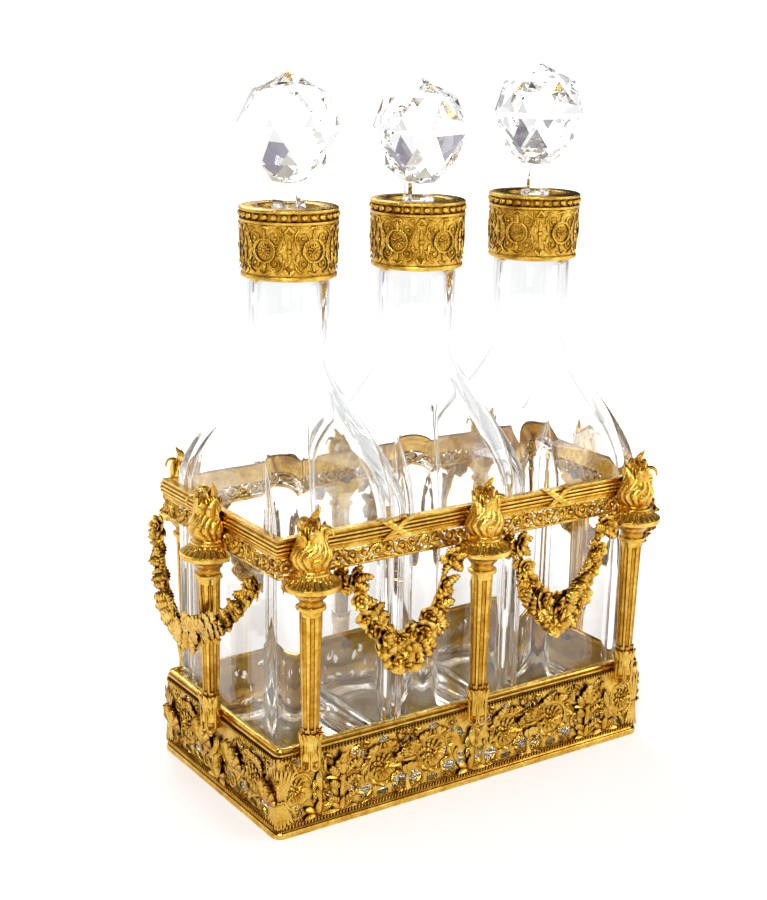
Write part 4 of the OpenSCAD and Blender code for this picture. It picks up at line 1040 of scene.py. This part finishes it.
def bottle_outline(x, y, z):
    """Each ring's number, which its z holds so far, gives its outline and height."""
    k = np.clip(np.round(z).astype(int), 0, len(levels) - 1)
    a, b, r, h = np.array(levels)[k].T
    return (np.sign(x) * (a - r) + r * x, np.sign(y) * (b - r) + r * y, h)


mould(shell, bottle_outline)
edit(bpy.ops.mesh.normals_make_consistent, inside=False)
keep("bottle", shell)
for side, x in BOTTLES.items():
    piece_from("glass_bottle_" + side, [("bottle", at(x, 0, BOTTLE_FOOT))], "decanter_" + side, BOTTLE_GLASS,
               ["bottle_" + side], angle=50)

# Studio
FLOOR_WIDTH = 9              # metres
floor = alone(bpy.ops.mesh.primitive_plane_add, size=FLOOR_WIDTH)
floor.name = "studio_floor"
# White paper: the eye and the glass see it lit evenly, metal sees it dimmer, and it keeps the object's shadow
PAPER, tree, bsdf = finish("studio_paper")
tree.nodes.remove(bsdf)
matt = add(tree, "ShaderNodeBsdfDiffuse", {"Color": colour("#F2F1F4")})
spot = add(tree, "ShaderNodeVectorMath", {"operation": "LENGTH"},
           i0=add(tree, "ShaderNodeTexCoord").outputs["Object"]).outputs["Value"]
faded = add(tree, "ShaderNodeMapRange", {"From Min": 0.16, "From Max": 0.8, "To Min": 0.28, "To Max": 1.0},
            Value=spot).outputs[0]
glow = add(tree, "ShaderNodeEmission", {"Color": colour("#FFFFFF")}, Strength=faded)
dim = add(tree, "ShaderNodeEmission", {"Color": colour("#FFFFFF"), "Strength": 0.0})
rays = add(tree, "ShaderNodeLightPath")
seen = add(tree, "ShaderNodeMath", {"operation": "MAXIMUM"}, i0=rays.outputs["Is Camera Ray"],
           i1=rays.outputs["Is Transmission Ray"]).outputs[0]
mirrored = add(tree, "ShaderNodeMath", {"operation": "MULTIPLY", 1: 0.6},
               i0=rays.outputs["Is Glossy Ray"]).outputs[0]
seen = add(tree, "ShaderNodeMath", {"operation": "MAXIMUM"}, i0=seen, i1=mirrored).outputs[0]
lit = add(tree, "ShaderNodeMixShader", Fac=seen, i1=dim.outputs[0], i2=glow.outputs[0])
both_shaders = add(tree, "ShaderNodeAddShader", i0=matt.outputs[0], i1=lit.outputs[0])
tree.links.new(both_shaders.outputs[0], tree.nodes["Material Output"].inputs["Surface"])
floor.data.materials.append(PAPER)

# The room: white for the eye, clear with darker streaks for the glass, and light panels for the metal
world = bpy.data.worlds.new("studio")
bpy.context.scene.world = world
world.use_nodes = True
tree = world.node_tree
sky = tree.nodes["Background"]
way = add(tree, "ShaderNodeTexCoord").outputs["Generated"]
parts = add(tree, "ShaderNodeSeparateXYZ", Vector=way)
height = add(tree, "ShaderNodeMapRange", {"From Min": 0.0, "From Max": 1.0},
             Value=parts.outputs["Z"]).outputs[0]
clear = ramp(tree, height, [(0.0, "#FFFFFF"), (0.45, "#FDFDFF"), (0.72, "#D2CCBC"), (1.0, "#B6AC92")])
shade = ramp(tree, height, [(0.0, "#FFFFFF"), (0.3, "#F4F3F2"), (0.55, "#B0AEB2"), (1.0, "#807E84")])
flat = add(tree, "ShaderNodeCombineXYZ", X=parts.outputs["X"], Y=parts.outputs["Y"])
round_way = add(tree, "ShaderNodeVectorMath", {"operation": "NORMALIZE"}, i0=flat.outputs[0])
screens = add(tree, "ShaderNodeTexNoise", {"Scale": 3.4, "Detail": 1.0},
              Vector=round_way.outputs[0]).outputs["Fac"]
streaks = ramp(tree, screens, [(0.36, "#565248"), (0.42, "#A29EAE"), (0.47, "#E4E2EA"), (0.53, "#FFFFFF")])
around = add(tree, "ShaderNodeMath", {"operation": "ARCTAN2"}, i0=parts.outputs["Y"],
             i1=parts.outputs["X"]).outputs[0]
around = add(tree, "ShaderNodeMath", {"operation": "MULTIPLY_ADD", 1: 2.0, 2: math.radians(110)},
             i0=around).outputs[0]
around = add(tree, "ShaderNodeMath", {"operation": "COSINE"}, i0=around).outputs[0]
panels = add(tree, "ShaderNodeMapRange", {"From Min": -0.7, "From Max": 0.7, "To Min": 0.04, "To Max": 1.2},
             Value=around).outputs[0]


def blend(kind, share, a, b):
    """Two colours mixed or multiplied."""
    node = add(tree, "ShaderNodeMix", {"data_type": "RGBA", "blend_type": kind})
    for k, source in ((0, share), (6, a), (7, b)):
        if isinstance(source, (int, tuple)):
            node.inputs[k].default_value = source
        else:
            tree.links.new(source, node.inputs[k])
    return node.outputs[2]


rays = add(tree, "ShaderNodeLightPath")
through = rays.outputs["Is Transmission Ray"]
high_up = add(tree, "ShaderNodeMapRange", {"From Min": 0.04, "From Max": 0.26}, Value=height).outputs[0]
in_metal = add(tree, "ShaderNodeMath", {"operation": "SUBTRACT", "use_clamp": True},
               i0=rays.outputs["Is Glossy Ray"], i1=through).outputs[0]
room = blend("MIX", in_metal, blend("MULTIPLY", high_up, clear, streaks), blend("MULTIPLY", 1, shade, panels))
tree.links.new(blend("MIX", rays.outputs["Is Camera Ray"], room, (1, 1, 1, 1)), sky.inputs["Color"])
sky.inputs["Strength"].default_value = 1.0


AIM = Vector((0, 0, 0.13))


def softbox(name, place, size, power):
    """A large lamp that looks at the middle of the object."""
    lamp = bpy.data.lights.new(name, "AREA")
    lamp.shape = "RECTANGLE"
    lamp.size, lamp.size_y = size
    lamp.energy = power
    stand = bpy.data.objects.new(name, lamp)
    bpy.context.scene.collection.objects.link(stand)
    stand.location = place
    stand.rotation_euler = (AIM - Vector(place)).to_track_quat("-Z", "Y").to_euler()


# place and size in metres, and watts
softbox("key_lamp", (-0.9, -1.0, 1.1), (0.45, 0.45), 13)
softbox("fill_lamp", (1.2, -0.8, 0.7), (0.6, 0.6), 4.5)
softbox("back_lamp", (0.3, 1.2, 1.0), (0.6, 0.4), 6)

# Camera, fitted to the stand's corners in the photograph: pixels, metres and degrees
WIDE, HIGH = 767, 900
SENSOR = 36
PLACE = Vector((-0.4242, -0.6034, 0.3546))
YAW, PITCH_DOWN, ROLL = math.radians(34.08), math.radians(-17.69), math.radians(1.10)
FOCAL, CENTRE = 1560.6, (383.5, 520)
ahead = Vector((math.sin(YAW) * math.cos(PITCH_DOWN), math.cos(YAW) * math.cos(PITCH_DOWN),
                math.sin(PITCH_DOWN)))
right = Vector((math.cos(YAW), -math.sin(YAW), 0))
up = right.cross(ahead)
right, up = (math.cos(ROLL) * right + math.sin(ROLL) * up, math.cos(ROLL) * up - math.sin(ROLL) * right)
lens = bpy.data.cameras.new("camera")
camera = bpy.data.objects.new("camera", lens)
bpy.context.scene.collection.objects.link(camera)
camera.matrix_world = Matrix(((right.x, up.x, -ahead.x, PLACE.x), (right.y, up.y, -ahead.y, PLACE.y),
                              (right.z, up.z, -ahead.z, PLACE.z), (0, 0, 0, 1)))
lens.sensor_width = SENSOR
lens.lens = FOCAL * SENSOR / HIGH
lens.shift_x = (WIDE / 2 - CENTRE[0]) / HIGH
lens.shift_y = (CENTRE[1] - HIGH / 2) / HIGH
lens.clip_start, lens.clip_end = 0.01, 50
bpy.context.scene.camera = camera
bpy.context.scene.view_settings.view_transform = "Standard"
BOUNCES = 32  # light has many walls of glass to pass
if hasattr(bpy.context.scene, "cycles"):
    for kind in ("max_bounces", "transmission_bounces", "glossy_bounces"):
        setattr(bpy.context.scene.cycles, kind, BOUNCES)
